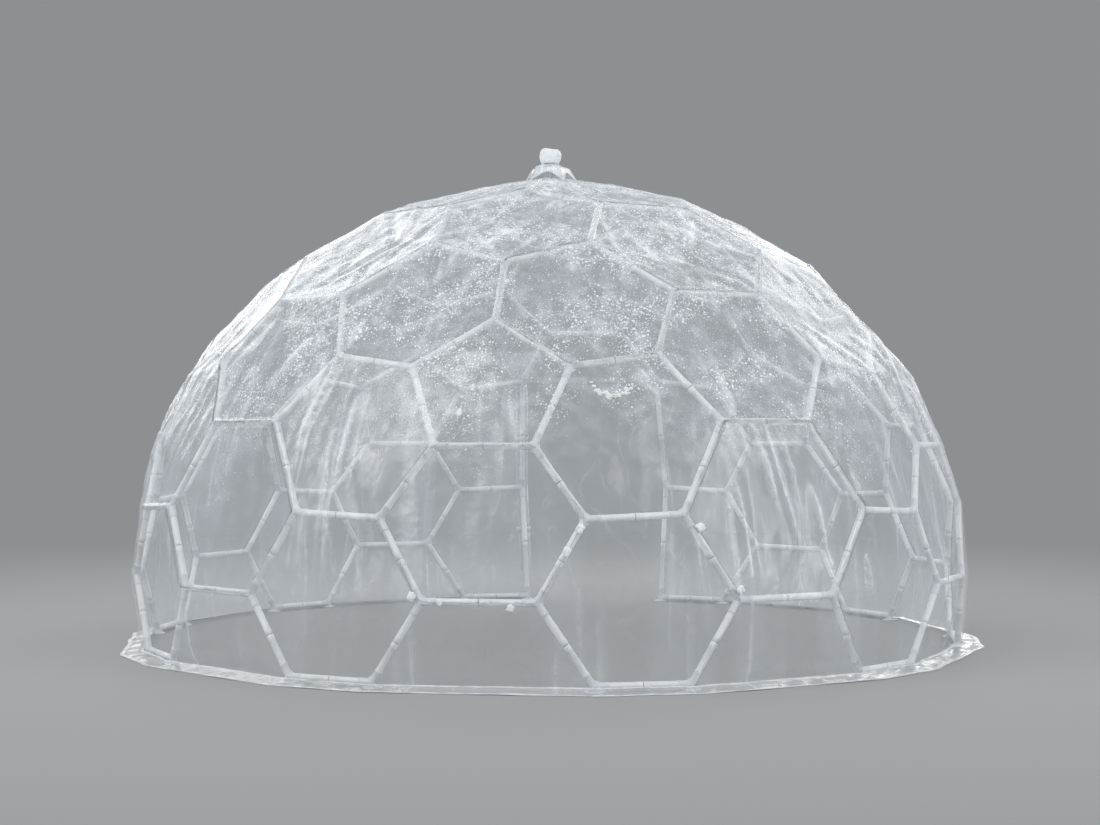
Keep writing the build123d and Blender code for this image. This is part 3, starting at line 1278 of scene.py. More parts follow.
@dataclass(frozen=True)
class Ripple:
    """One kind of small wave in the film, high or low at the ground and at the crown."""

    scale: Point
    offset: Point
    sharpness: float
    at_ground: float
    at_crown: float

    def height(self, point: Vector, low: float) -> float:
        """The wave's height.

        Args:
            point: Where.
            low: 1 near the ground, 0 near the crown.

        Returns:
            The height in metres; a sharp wave is a ridge where the noise crosses 0.
        """
        stretched = Vector([part * scale for part, scale in zip(point, self.scale)])
        value = noise.noise(stretched + Vector(self.offset))
        if self.sharpness:
            value = 1.0 - self.sharpness * abs(value)
        return value * (self.at_ground * low + self.at_crown * (1.0 - low))


@dataclass
class FilmCover:
    """The one slack film cover, from the vent's edge over every tube down to the hem."""

    network: Network
    finishes: FinishShelf
    steps: int = 18
    over_hub: float = 0.0162
    over_tube: float = 0.0146
    hub_span: Pair = (0.04, 0.075)
    vent_radius: float = 0.064
    crown_rise: float = 0.0392
    vent_slope: float = 5.0
    crown_slope: float = 50.0
    crown_sag: Pair = (-0.006, -0.010)
    side_sag: Pair = (0.008, 0.014)
    seed: int = 7
    fold_count: int = 170
    fold_polar: Pair = (22.0, 74.0)
    fold_span: Pair = (7.0, 15.0)
    fold_height: Pair = (0.005, 0.009)
    fold_width: Pair = (0.011, 0.014)
    fold_trough: float = 0.45
    full_crease: float = 0.009
    free_from: float = 0.22
    held_share: float = 0.6
    steep_from: float = 62.0
    slant_swing: float = 45.0
    steep_swing: float = 11.0
    lowest: float = 0.004
    wave_fade: Pair = (0.6, 1.5)
    ripples: tuple[Ripple, ...] = (
        Ripple((6.5, 6.5, 1.7), (3.1, 7.7, 1.3), 2.2, 0.0085, 0.0),
        Ripple((15.0, 15.0, 4.0), (0.0, 0.0, 0.0), 2.2, 0.003, 0.0),
        Ripple((10.0, 10.0, 10.0), (1.0, 4.0, 8.0), 2.4, 0.0014, 0.0044),
        Ripple((4.2, 4.2, 4.2), (9.0, 2.0, 5.0), 0.0, 0.010, 0.004))
    points: list[Vector] = field(default_factory=list)
    slack: list[float] = field(default_factory=list)
    sags: list[float] = field(default_factory=list)
    known: dict[tuple, int] = field(default_factory=dict)
    creases: np.ndarray | None = None

    def build(self) -> Piece:
        """Makes the cover and replaces the flat panels with it.

        Returns:
            The cover.
        """
        faces: list[Face] = []
        rng = np.random.default_rng(self.seed)
        for number, (centre, ring) in enumerate(self.network.cells):
            slope = self.network.polar(centre)
            sag = self.drawn(rng, self.crown_sag if slope < self.crown_slope else self.side_sag)
            if slope < self.vent_slope:
                self.vented_cell(ring, faces)
            else:
                self.cell(number, ring, sag, faces)
        self.wrinkle(rng)
        works = MeshWorks("film_cover")
        works.add(self.points, faces)
        made = works.make([self.finishes.film])
        crease = made.data.attributes.new("crease", "FLOAT", "POINT")
        crease.data.foreach_set("value", self.creases)
        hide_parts(*(f"{name}_film" for name, _ in self.network.sizes.tiers))
        return made

    @staticmethod
    def drawn(rng: np.random.Generator, bounds: Pair) -> float:
        """Draws a number: the first of the two, and up to the second more."""
        return bounds[0] + bounds[1] * rng.random()

    def edge(self, here: Key, there: Key, share: float) -> Vector:
        """A point of the film where it lies over a tube.

        Args:
            here: The key of the hub where share is 0.
            there: The key of the hub where share is 1.
            share: How far along, from 0 to 1.

        Returns:
            The point.
        """
        start, end = self.network.place[here], self.network.place[there]
        point = start.lerp(end, share)
        from_hub = min(share, 1.0 - share) * (end - start).length
        lift = self.over_hub + (self.over_tube - self.over_hub) * smoothstep(*self.hub_span, from_hub)
        return point + self.network.outward(point) * lift

    def at(self, name: tuple, point: Vector, slack: float, sag: float) -> int:
        """The place in the mesh of a named point, which is added once.

        Args:
            name: What names it.
            point: Where it is.
            slack: How free the film is there, from 0 over a tube to 1 in the middle of a cell.
            sag: How far the cell's middle stands out, or in if below 0.

        Returns:
            Its index.
        """
        if name not in self.known:
            self.known[name] = len(self.points)
            self.points.append(point)
            self.slack.append(slack)
            self.sags.append(sag)
        return self.known[name]

    def rim(self, here: Key, there: Key, step: int) -> int:
        """The index of a point over a tube, shared by the cells on its two sides.

        Args:
            here: The key of the hub where step is 0.
            there: The key of the hub where step is the last.
            step: How far along.

        Returns:
            The index.
        """
        if step in (0, self.steps):
            key = here if step == 0 else there
            return self.at(("hub", key), self.edge(here, there, step / self.steps), 0.0, 0.0)
        if there < here:
            here, there, step = there, here, self.steps - step
        return self.at(("tube", here, there, step), self.edge(here, there, step / self.steps), 0.0, 0.0)

    def cell_middle(self, ring: list[Key]) -> Vector:
        """The middle of the film's corners over a cell, from the cell's hubs in order."""
        lifted = [self.edge(here, there, 0.0) for here, there in zip(ring, ring[1:] + ring[:1])]
        return sum(lifted, Vector()) / len(lifted)

    def cell(self, number: int, ring: list[Key], sag: float, faces: list[Face]) -> None:
        """Adds the film over one cell.

        Args:
            number: The cell's number.
            ring: The cell's hubs in order.
            sag: How far its middle stands out.
            faces: Where the faces go.
        """
        middle = self.cell_middle(ring)

        def index(sector: int, row: int, column: int) -> int:
            """The index of a point.

            Args:
                sector: The number of the hub that it starts from.
                row: From 0 in the middle out.
                column: From 0 along the side.

            Returns:
                The index.
            """
            here, there = ring[sector], ring[(sector + 1) % len(ring)]
            if row == 0:
                return self.at(("middle", number), middle, 1.0, sag)
            if row == self.steps:
                return self.rim(here, there, column)
            if column in (0, row):
                spoke = sector if column == 0 else (sector + 1) % len(ring)
                name = ("spoke", number, spoke, row)
            else:
                name = ("inside", number, sector, row, column)
            reach = row / self.steps
            point = middle.lerp(self.edge(here, there, column / row), reach)
            return self.at(name, point, 1.0 - reach, sag)

        for sector in range(len(ring)):
            for row in range(self.steps):
                for column in range(row + 1):
                    here, beyond = index(sector, row, column), index(sector, row + 1, column)
                    far = index(sector, row + 1, column + 1)
                    faces.append((here, beyond, far))
                    if column < row:
                        faces.append((here, far, index(sector, row, column + 1)))

    def vented_cell(self, ring: list[Key], faces: list[Face]) -> None:
        """Adds the film over the crown's cell, drawn up to the edge of its vent hole.

        Args:
            ring: The cell's hubs in order.
            faces: Where the faces go.
        """
        middle = self.cell_middle(ring)

        def index(sector: int, row: int, column: int) -> int:
            """The index of a point.

            Args:
                sector: The number of the hub that it starts from.
                row: From 0 at the vent out.
                column: From 0 along the side.

            Returns:
                The index.
            """
            here, there = ring[sector], ring[(sector + 1) % len(ring)]
            if row == self.steps:
                return self.rim(here, there, column)
            side = self.edge(here, there, column / self.steps)
            out = Vector((side.x, side.y, 0.0)).normalized()
            inner = middle + out * self.vent_radius + UP * self.crown_rise
            reach = row / self.steps
            number = sector * self.steps + column
            name = ("vent", number % (self.steps * len(ring)), row)
            return self.at(name, inner.lerp(side, reach), min(reach, 1.0 - reach), 0.0)

        for sector in range(len(ring)):
            for row in range(self.steps):
                for column in range(self.steps):
                    faces.append((
                        index(sector, row, column), index(sector, row + 1, column),
                        index(sector, row + 1, column + 1), index(sector, row, column + 1)))

    def folds(self, rng: np.random.Generator) -> list[Fold]:
        """The long folds: slanting ones over the shoulders and steep ones down the sides.

        Args:
            rng: The seeded chance.

        Returns:
            The folds.
        """
        found = []
        for _ in range(self.fold_count):
            polar, azimuth = self.drawn(rng, self.fold_polar), self.drawn(rng, (0.0, 360.0))
            span = self.drawn(rng, self.fold_span)
            swing = self.steep_swing if polar > self.steep_from else self.slant_swing
            turn = math.radians(self.drawn(rng, (-swing, 2.0 * swing)))
            down, sideways = span * math.cos(turn), span * math.sin(turn) / math.sin(math.radians(polar))
            start = Network.direction(polar, azimuth)
            end = Network.direction(min(100.0, polar + down), azimuth + sideways)
            height = self.drawn(rng, self.fold_height) * (1.0 if rng.random() < 0.6 else -0.8)
            found.append(Fold(start, end, self.drawn(rng, self.fold_width), height))
        return found

    def wrinkle(self, rng: np.random.Generator) -> None:
        """Moves the film off its straight rest: sag, long folds and small waves.

        Args:
            rng: The seeded chance.
        """
        points = np.array([tuple(point) for point in self.points])
        slack, sags = np.array(self.slack), np.array(self.sags)
        outward = points - np.array([0.0, 0.0, self.network.sizes.centre_height])
        distance = np.linalg.norm(outward, axis=1)
        outward /= distance[:, None]
        ridge = sum(self.raised(fold, outward, distance) for fold in self.folds(rng))
        moved = ridge + np.array([self.wave(point) for point in self.points])
        free = np.clip(slack / self.free_from, 0.0, 1.0)
        free = free * free * (3.0 - 2.0 * free)
        belly = sags * (1.0 - (1.0 - slack) ** 2)
        held = np.maximum(moved, 0.0) * self.held_share
        shift = belly + free * moved + (1.0 - free) * held
        self.creases = np.clip(np.abs(ridge) / self.full_crease, 0.0, 1.0) * (0.3 + 0.7 * free)
        points += outward * shift[:, None]
        points[:, 2] = np.maximum(points[:, 2], self.lowest)
        self.points = [Vector(point) for point in points]

    def raised(self, fold: Fold, outward: np.ndarray, distance: np.ndarray) -> np.ndarray:
        """How far a fold moves each point of the film out.

        Args:
            fold: The fold.
            outward: The points' unit directions from the dome's centre.
            distance: How far they are from it.

        Returns:
            The distances.
        """
        start, end = np.array(fold.start), np.array(fold.end)
        normal = np.cross(start, end)
        normal /= np.linalg.norm(normal)
        off = outward @ normal * distance
        angle = np.arctan2(outward @ np.cross(normal, start), outward @ start)
        whole = math.acos(float(np.clip(start @ end, -1.0, 1.0)))
        envelope = np.sin(np.pi * np.clip(angle / whole, 0.0, 1.0)) ** 0.8
        crest = np.exp(-(off / fold.width) ** 2)
        trough = np.exp(-((np.abs(off) - 2.0 * fold.width) / fold.width) ** 2)
        return fold.height * envelope * (crest - self.fold_trough * trough)

    def wave(self, point: Vector) -> float:
        """Height of the small waves at a point: creases down the sides, crumples near the crown."""
        low = 1.0 - smoothstep(*self.wave_fade, point.z)
        return sum(ripple.height(point, low) for ripple in self.ripples)


@dataclass
class HemSkirt:
    """The pleated hem on the ground, from the foot of the cover out to its welded border."""

    network: Network
    cover: FilmCover
    finishes: FinishShelf
    rows: int = 10
    parts: int = 3
    reach: float = 0.090
    reach_drift: float = 0.007
    lying: float = 0.0016
    lowest: float = 0.0012
    pleat: float = 0.012
    pleats: float = 88.0
    broad_pleats: float = 37.0
    crinkle: float = 0.003
    border_lift: float = 0.0035
    slip: float = 0.006
    border_rows: int = 2

    def build(self) -> Piece:
        """Makes the hem and replaces the plain one with it.

        Returns:
            The hem.
        """
        tops = self.foot_line()
        works = MeshWorks("hem_skirt_film")
        faces = lattice(len(tops), self.rows + 1, flipped=True)
        works.add([point for top in tops for point in self.column(top)], faces)
        works.finishes = [
            0 if 0 < number % self.rows < self.rows - self.border_rows else 1 for number in range(len(faces))
        ]
        made = works.make([self.finishes.hem, self.finishes.band])
        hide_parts("hem_skirt")
        return made

    def foot_line(self) -> list[Vector]:
        """The cover's lowest line, from one side of the doorway all round to the other.

        Returns:
            Its points.
        """
        network, cover = self.network, self.cover
        threshold = {column[-1] for column in network.door}
        ground = network.ground
        order = next(n for n in range(len(ground)) if {ground[n - 1], ground[n]} == threshold)
        ground = ground[order:] + ground[:order]
        coarse = [
            cover.points[cover.rim(here, there, step)]
            for here, there in zip(ground, ground[1:]) for step in range(cover.steps)
        ] + [cover.points[cover.rim(ground[-2], ground[-1], cover.steps)]]
        return [
            start.lerp(end, part / self.parts)
            for start, end in zip(coarse, coarse[1:]) for part in range(self.parts)
        ] + [coarse[-1]]

    def column(self, top: Vector) -> list[Vector]:
        """The hem's points from the cover's foot out to its border.

        Args:
            top: The cover's lowest point there.

        Returns:
            The points.
        """
        level = Vector((top.x, top.y, 0.0))
        out, start = level.normalized(), level.length
        side = Vector((-out.y, out.x, 0.0))
        angle = math.atan2(top.y, top.x)
        drift = noise.noise(Vector((top.x * 5.0, top.y * 5.0, 2.0)))
        fine = noise.noise(Vector((top.x * 22.0, top.y * 22.0, 4.0)))
        wave = 0.5 + 0.5 * math.sin(self.pleats * angle + 6.0 * drift)
        broad = 0.5 + 0.5 * math.sin(self.broad_pleats * angle + 3.0 * fine)
        lift = (0.55 * wave ** 2 + 0.45 * broad) * self.pleat + self.crinkle * fine
        reach = self.reach + self.reach_drift * drift
        column = []
        for row in range(self.rows + 1):
            share = row / self.rows
            swell = math.sin(math.pi * min(1.0, share * 1.08)) ** 1.5
            fall = (1.0 - share) ** 2.4
            height = top.z * fall + (1.0 - fall) * (self.lying + lift * swell)
            height += self.border_lift * max(0.0, drift) * share
            slip = self.slip * (wave - 0.5) * swell
            column.append(out * (start + reach * share) + side * slip + UP * max(self.lowest, height))
        return column


@dataclass
class DoorRoll:
    """The film door, rolled up beside the doorway, with the two ties round it."""

    network: Network
    finishes: FinishShelf
    radius: float = 0.035
    core: float = 0.007
    pitch: float = 0.0046
    outer_radius: float = 0.038
    outer_sides: int = 12
    stations: int = 40
    columns_per_turn: int = 22
    post_reach: float = 0.0142
    film_thickness: float = 0.001
    clearance: float = 0.005
    bottom: float = 0.12
    top_drop: float = 0.06
    bend_half: float = 0.09
    ripple: float = 0.07
    pinch: float = 0.1
    pinch_half: float = 0.03
    edge_slip: float = 0.004
    tie_width: float = 0.024
    tie_thickness: float = 0.0018
    tie_gap: float = 0.0012
    tie_wave: float = 0.0008
    tie_sides: int = 36
    tab_reach: float = 0.0155
    tab_bite: float = 0.003
    tab_aside: float = 0.003
    tab_half: float = 0.001
    buckle_lift: float = 0.0035
    buckle_half: Pair = (0.0018, 0.011)
    buckle_over: float = 0.003
    tongue_lift: float = 0.0022
    tongue_half: Pair = (0.001, 0.003)
    tongue_over: float = 0.001

    def line(self) -> list[Vector]:
        """The roll's centreline, beside the doorway's tubes.

        Returns:
            Its foot, bend and head.
        """
        network = self.network
        upper, middle, lower = (network.place[key] for key in network.door[1])
        flat_reach = self.outer_radius * math.cos(math.pi / self.outer_sides)
        stand_off = self.post_reach + self.film_thickness + self.clearance + flat_reach
        lower_out = across((middle - lower).normalized(), network.outward((middle + lower) / 2))[0]
        upper_out = across((upper - middle).normalized(), network.outward((middle + upper) / 2))[0]
        foot = lower + (middle - lower).normalized() * self.bottom + lower_out * stand_off
        bend = middle + (lower_out + upper_out) * (stand_off / (1.0 + lower_out.dot(upper_out)))
        head = upper + (middle - upper).normalized() * self.top_drop + upper_out * stand_off
        return [foot, bend, head]

    def along(self, share: float) -> tuple[Vector, Vector]:
        """A point on the roll's line, with its bend rounded, and the direction there.

        Args:
            share: How far up, from 0 to 1.

        Returns:
            The point and the unit direction.
        """
        foot, bend, head = self.line()
        first, second = (bend - foot).length, (head - bend).length
        at, soft = share * (first + second), self.bend_half
        turned = smoothstep(first - soft, first + soft, at)
        way = (bend - foot).normalized().lerp((head - bend).normalized(), turned)
        if at < first:
            point = foot.lerp(bend, at / first)
        else:
            point = bend.lerp(head, (at - first) / second)
        return point, way.normalized()

    def tie_shares(self) -> list[float]:
        """How far up the roll its two ties are.

        Returns:
            Their shares of the roll's length.
        """
        foot, bend, head = self.line()
        first, second = (bend - foot).length, (head - bend).length
        return [first / 2 / (first + second), (first + second / 2) / (first + second)]

    def build(self) -> list[Piece]:
        """Makes the roll and its ties and replaces the plain ones with them.

        Returns:
            The roll and the ties.
        """
        works = MeshWorks("door_roll_film")
        turns = (self.radius - self.core) / self.pitch
        columns = int(turns * self.columns_per_turn)
        points = []
        for row in range(self.stations + 1):
            share = row / self.stations
            point, way = self.along(share)
            first, second = across(way, self.network.outward(point))
            squeeze = sum(math.exp(-((share - tie) / self.pinch_half) ** 2) for tie in self.tie_shares())
            for column in range(columns + 1):
                angle = FULL * turns * column / columns
                spiral = self.core + self.pitch * angle / FULL
                around = Vector((math.cos(angle) * 1.4, math.sin(angle) * 1.4, share * 9.0 + column * 0.004))
                spiral = min(self.radius, spiral * (1.0 + self.ripple * noise.noise(around)))
                spiral *= 1.0 - self.pinch * squeeze
                slip = self.edge_slip * noise.noise(Vector((column * 0.05, 1.0, share)))
                points.append(point + spoke(first, second, angle) * spiral + way * slip)
        works.add(points, lattice(self.stations + 1, columns + 1))
        roll = works.make([self.finishes.rolled])
        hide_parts("door_roll")
        return [roll, self.ties()]

    def ties(self) -> Piece:
        """Makes the two woven ties: a loop round the roll, a tab to the post and a buckle.

        Returns:
            The ties.
        """
        works = MeshWorks("door_ties_woven")
        sides, half, thick = self.tie_sides, self.tie_width / 2, self.tie_thickness
        for share in self.tie_shares():
            point, way = self.along(share)
            first, second = across(way, self.network.outward(point))
            points = []
            for along, over in ((-half, 0.0), (-half, thick), (half, thick), (half, 0.0)):
                for k in range(sides):
                    angle = FULL * k / sides
                    reach = self.radius + self.tie_gap + over + self.tie_wave * math.sin(5 * angle)
                    points.append(point + way * along + spoke(first, second, angle) * reach)
            works.add(points, lattice(4, sides, ringed=True, looped=True))
            inward = second if second.x * point.x < 0 else second * -1
            reach = self.tab_reach
            tab = point + inward * self.tab_aside - first * (self.radius + reach / 2)
            works.box(tab, (first, inward, way), (reach / 2 + self.tab_bite, self.tab_half, half))
            buckle, axes = point + first * (self.radius + self.buckle_lift), (first, second, way)
            works.box(buckle, axes, (*self.buckle_half, half + self.buckle_over))
            tongue = buckle + first * self.tongue_lift
            works.box(tongue, axes, (*self.tongue_half, half + self.tongue_over))
        made = works.make([self.finishes.tape])
        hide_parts("door_ties")
        return made


@dataclass
class DoorTrim:
    """The welded band and zip round the doorway's two sides and header."""

    network: Network
    finishes: FinishShelf
    width: float = 0.034
    steps: int = 24
    lift: float = 0.0163
    lanes: tuple[float, ...] = (-0.5, -0.18, 0.18, 0.5)
    crest: float = 0.0006
    edge_drop: float = 0.0032
    puff: float = 0.0012
    tooth: float = 0.0028
    tooth_half_height: float = 0.0009
    tooth_pitch: float = 2.2

    def build(self) -> Piece:
        """Makes the trim.

        Returns:
            The trim.
        """
        network = self.network
        works = MeshWorks("doorway_trim")
        left, right = network.door
        path = [network.place[key] for key in reversed(left)] + [network.place[key] for key in right]
        for start, end in zip(path, path[1:]):
            way = (end - start).normalized()
            out, side = across(way, network.outward((start + end) / 2))
            points = []
            for step in range(self.steps + 1):
                point = start.lerp(end, step / self.steps)
                puff = self.puff * noise.noise(point * 18.0)
                for lane in self.lanes:
                    crown = self.lift + self.crest - self.edge_drop * abs(lane) + puff
                    points.append(point + out * crown + side * (lane * self.width))
            works.add(points, lattice(self.steps + 1, len(self.lanes)))
            length = (end - start).length
            count = int(length / (self.tooth * self.tooth_pitch))
            half = (self.tooth / 2, self.tooth, self.tooth_half_height)
            for step in range(count):
                place = start + way * ((step + 0.5) * length / count) + out * (self.lift + self.tooth / 2)
                works.box(place, (way, side, out), half, finish=1)
        made = works.make([self.finishes.band, self.finishes.tube])
        return made


@dataclass
class VentCap:
    """The five-sided film tent over the vent, its knob under frost, and the vent's welded rim."""

    cover: FilmCover
    finishes: FinishShelf
    radius: float = 0.1265
    shoulder_radius: float = 0.087
    top_radius: float = 0.025
    wall_height: float = 0.062
    roof_height: float = 0.026
    arch: float = 0.041
    binding: float = 0.0032
    binding_sides: int = 8
    sink: float = 0.003
    film_lift: float = 0.002
    wall_dip: float = 0.004
    roof_dip: float = 0.005
    puff: float = 0.0014
    knob_levels: tuple[Pair, ...] = (
        (0.0, 0.043), (0.008, 0.048), (0.020, 0.050), (0.034, 0.050), (0.047, 0.049), (0.059, 0.043),
        (0.067, 0.033), (0.0715, 0.015))
    knob_rows: int = 28
    knob_sides: int = 40
    knob_middle: float = 0.03
    knob_lumps: tuple[Pair, ...] = ((30.0, 0.007), (75.0, 0.004))
    knob_shrink: float = 0.003
    foot_rings: tuple[Pair, ...] = (
        (0.0, 0.009), (0.002, 0.009), (0.003, 0.006), (0.007, 0.0045))
    collar_drop: float = 0.006
    collar_rings: tuple[Pair, ...] = ((0.0, 1.02), (0.006, 1.02), (0.009, 0.85), (0.0098, 0.2))
    rim_profile: tuple[Pair, ...] = (
        (-0.004, 0.0), (0.0, 0.0022), (0.010, 0.0018), (0.013, 0.0006))
    steps: int = 16

    def build(self) -> tuple[Piece, list[Piece]]:
        """Makes the cap and replaces the plain one with it.

        Returns:
            The tent, and the pieces on it: its binding and its knob.
        """
        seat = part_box("vent_cap")[0].z
        top = seat + self.wall_height + self.roof_height
        tent, trim = MeshWorks("vent_cap_tent"), MeshWorks("vent_cap_binding")
        width = self.steps + 1
        for side in range(5):
            grid = [
                [self.spot(seat, side, column / self.steps, row) for row in range(width)]
                for column in range(width)]
            tent.add([point for line in grid for point in line], lattice(width, width, flipped=True))
            self.bind(trim, [line[0] for line in grid])
            self.bind(trim, grid[0])
            foot = grid[0][0]
            trim.turned(Vector((foot.x, foot.y, seat - self.sink)), UP, list(self.foot_rings), 12, RIGHT)
        collar = [(along, self.top_radius * share) for along, share in self.collar_rings]
        trim.turned(UP * (top - self.collar_drop), UP, collar, 24, RIGHT)
        made = tent.make([self.finishes.cap])
        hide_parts("vent_cap")
        binding = trim.make([self.finishes.band])
        return made, [binding, self.knob(top)]

    def spot(self, seat: float, side: int, share: float, row: int) -> Vector:
        """A point of the tent.

        Args:
            seat: The height that its feet stand at.
            side: Which of the five sides.
            share: How far along the side, from 0 to 1.
            row: From 0 at the arch to steps at the top; the upper third is the roof.

        Returns:
            The point.
        """
        angle = FULL * (0.25 + side / 5)
        flat = spoke(RIGHT, BACK, angle).lerp(spoke(RIGHT, BACK, angle + FULL / 5), share)
        bow = math.sin(math.pi * share)
        wall_rows = self.steps * 2 // 3
        rise = self.arch * (1.0 - abs(2.0 * share - 1.0) ** 1.7)
        if row <= wall_rows:
            up = row / wall_rows
            height = rise + (self.wall_height - rise) * up
            reach = self.radius + (self.shoulder_radius - self.radius) * height / self.wall_height
            reach -= self.wall_dip * math.sin(math.pi * up) * bow
        else:
            up = (row - wall_rows) / (self.steps - wall_rows)
            height = self.wall_height + self.roof_height * up
            reach = self.shoulder_radius + (self.top_radius - self.shoulder_radius) * up
            height -= self.roof_dip * math.sin(math.pi * up) * (0.4 + 0.6 * bow)
        point = flat * reach + UP * (seat + height + self.film_lift)
        return point + UP * (self.puff * noise.noise(point * 50.0))

    def knob(self, top: float) -> Piece:
        """Makes the frost-covered knob.

        Args:
            top: Height of the cap's top.

        Returns:
            The knob.
        """
        works = MeshWorks("cap_knob_frosted")
        levels, girths = zip(*self.knob_levels)
        heights = np.linspace(levels[0], levels[-1], self.knob_rows)
        rings = [(float(height), float(np.interp(height, levels, girths))) for height in heights]
        works.turned(UP * (top - self.sink), UP, rings, self.knob_sides, RIGHT)
        middle = UP * (top + self.knob_middle)
        for number, point in enumerate(works.points):
            lump = sum(depth * noise.noise(point * scale) for scale, depth in self.knob_lumps)
            works.points[number] = point + (point - middle).normalized() * (lump - self.knob_shrink)
        made = works.make([self.finishes.frost])
        return made

    def bind(self, works: MeshWorks, line: list[Vector]) -> None:
        """Adds the rounded binding along an edge.

        Args:
            works: The mesh it goes into.
            line: The edge's points.
        """
        sides = self.binding_sides
        points = []
        for number, point in enumerate(line):
            ahead = line[min(number + 1, len(line) - 1)] - line[max(number - 1, 0)]
            first, second = across(ahead.normalized(), Vector((0.1, 0.2, 1.0)))
            points += [point + spoke(first, second, FULL * k / sides) * self.binding for k in range(sides)]
        works.add(points, lattice(len(line), sides, ringed=True))

    def rim(self) -> Piece:
        """Makes the welded rim round the vent hole.

        Returns:
            The rim.
        """
        works = MeshWorks("vent_rim_band")
        inner = [
            self.cover.points[index] for name, index in self.cover.known.items()
            if name[0] == "vent" and name[2] == 0]
        inner.sort(key=lambda point: math.atan2(point.y, point.x))
        points = []
        for point in inner:
            out = Vector((point.x, point.y, 0.0)).normalized()
            points += [point + out * along + UP * up for along, up in self.rim_profile]
        works.add(points, lattice(len(inner), len(self.rim_profile), looped=True, flipped=True))
        made = works.make([self.finishes.band])
        return made


@dataclass
class FrostClumps:
    """Small clumps and one smear of frost that cling to the cover's front."""

    network: Network
    cover: FilmCover
    finishes: FinishShelf
    places: tuple[tuple[float, float, float, float], ...] = (
        (81.1, 11.3, 0.017, 1.0), (83.9, 9.8, 0.013, 1.3), (81.1, 25.0, 0.018, 0.8), (88.6, 29.4, 0.015, 1.0),
        (89.4, -7.7, 0.016, 1.2), (89.9, -4.6, 0.011, 1.0), (90.5, 3.5, 0.014, 0.9), (67.4, -3.3, 0.010, 1.4))
    smear: tuple[Point, ...] = (
        (63.1, 13.2, 0.006), (64.2, 14.0, 0.011), (64.9, 15.2, 0.015),
        (65.0, 16.4, 0.013), (64.4, 17.5, 0.010), (63.4, 18.3, 0.006))
    smear_parts: int = 9
    smear_drawn: float = 0.8
    flatness: float = 0.42
    lift: float = 0.001
    lumps: tuple[Pair, ...] = ((85.0, 0.6), (190.0, 0.25))
    rows: int = 9
    sides: int = 16

    def build(self) -> Piece:
        """Makes the clumps.

        Returns:
            The clumps.
        """
        works = MeshWorks("frost_clumps")
        skin = np.array([tuple(point) for point in self.cover.points])
        for polar, azimuth, size, drawn in self.places:
            self.clump(works, self.on_film(skin, polar, azimuth), size, drawn)
        for start, end in zip(self.smear, self.smear[1:]):
            for part in range(self.smear_parts):
                share = part / self.smear_parts
                polar, azimuth, size = (here + (there - here) * share for here, there in zip(start, end))
                self.clump(works, self.on_film(skin, polar, azimuth), size, self.smear_drawn)
        made = works.make([self.finishes.frost])
        return made

    def on_film(self, skin: np.ndarray, polar: float, azimuth: float) -> Vector:
        """The point of the cover nearest to a direction from the dome's centre.

        Args:
            skin: The cover's points.
            polar: Degrees down from the crown.
            azimuth: Degrees round from the front.

        Returns:
            The point.
        """
        near = np.array(self.network.placed(Network.direction(polar, azimuth)))
        return Vector(skin[int(np.argmin(((skin - near) ** 2).sum(1)))])

    def clump(self, works: MeshWorks, spot: Vector, size: float, drawn: float) -> None:
        """Adds one flattened uneven clump.

        Args:
            works: The mesh it goes into.
            spot: The point of the film that it clings to.
            size: Its half width.
            drawn: How tall it is for its width.
        """
        outward = self.network.outward(spot)
        first, second = across(outward, UP)
        points = []
        for row in range(self.rows + 1):
            tilt = math.pi * row / self.rows
            for k in range(self.sides):
                turn = FULL * k / self.sides
                flat = first * (math.cos(turn) * drawn) + second * math.sin(turn)
                way = flat * (math.sin(tilt) * size)
                lump = 1.0 + sum(depth * noise.noise((spot + way) * scale) for scale, depth in self.lumps)
                rise = math.cos(tilt) * size * self.flatness * lump + self.lift
                points.append(spot + way * lump + outward * rise)
        works.add(points, lattice(self.rows + 1, self.sides, ringed=True))


# The stage

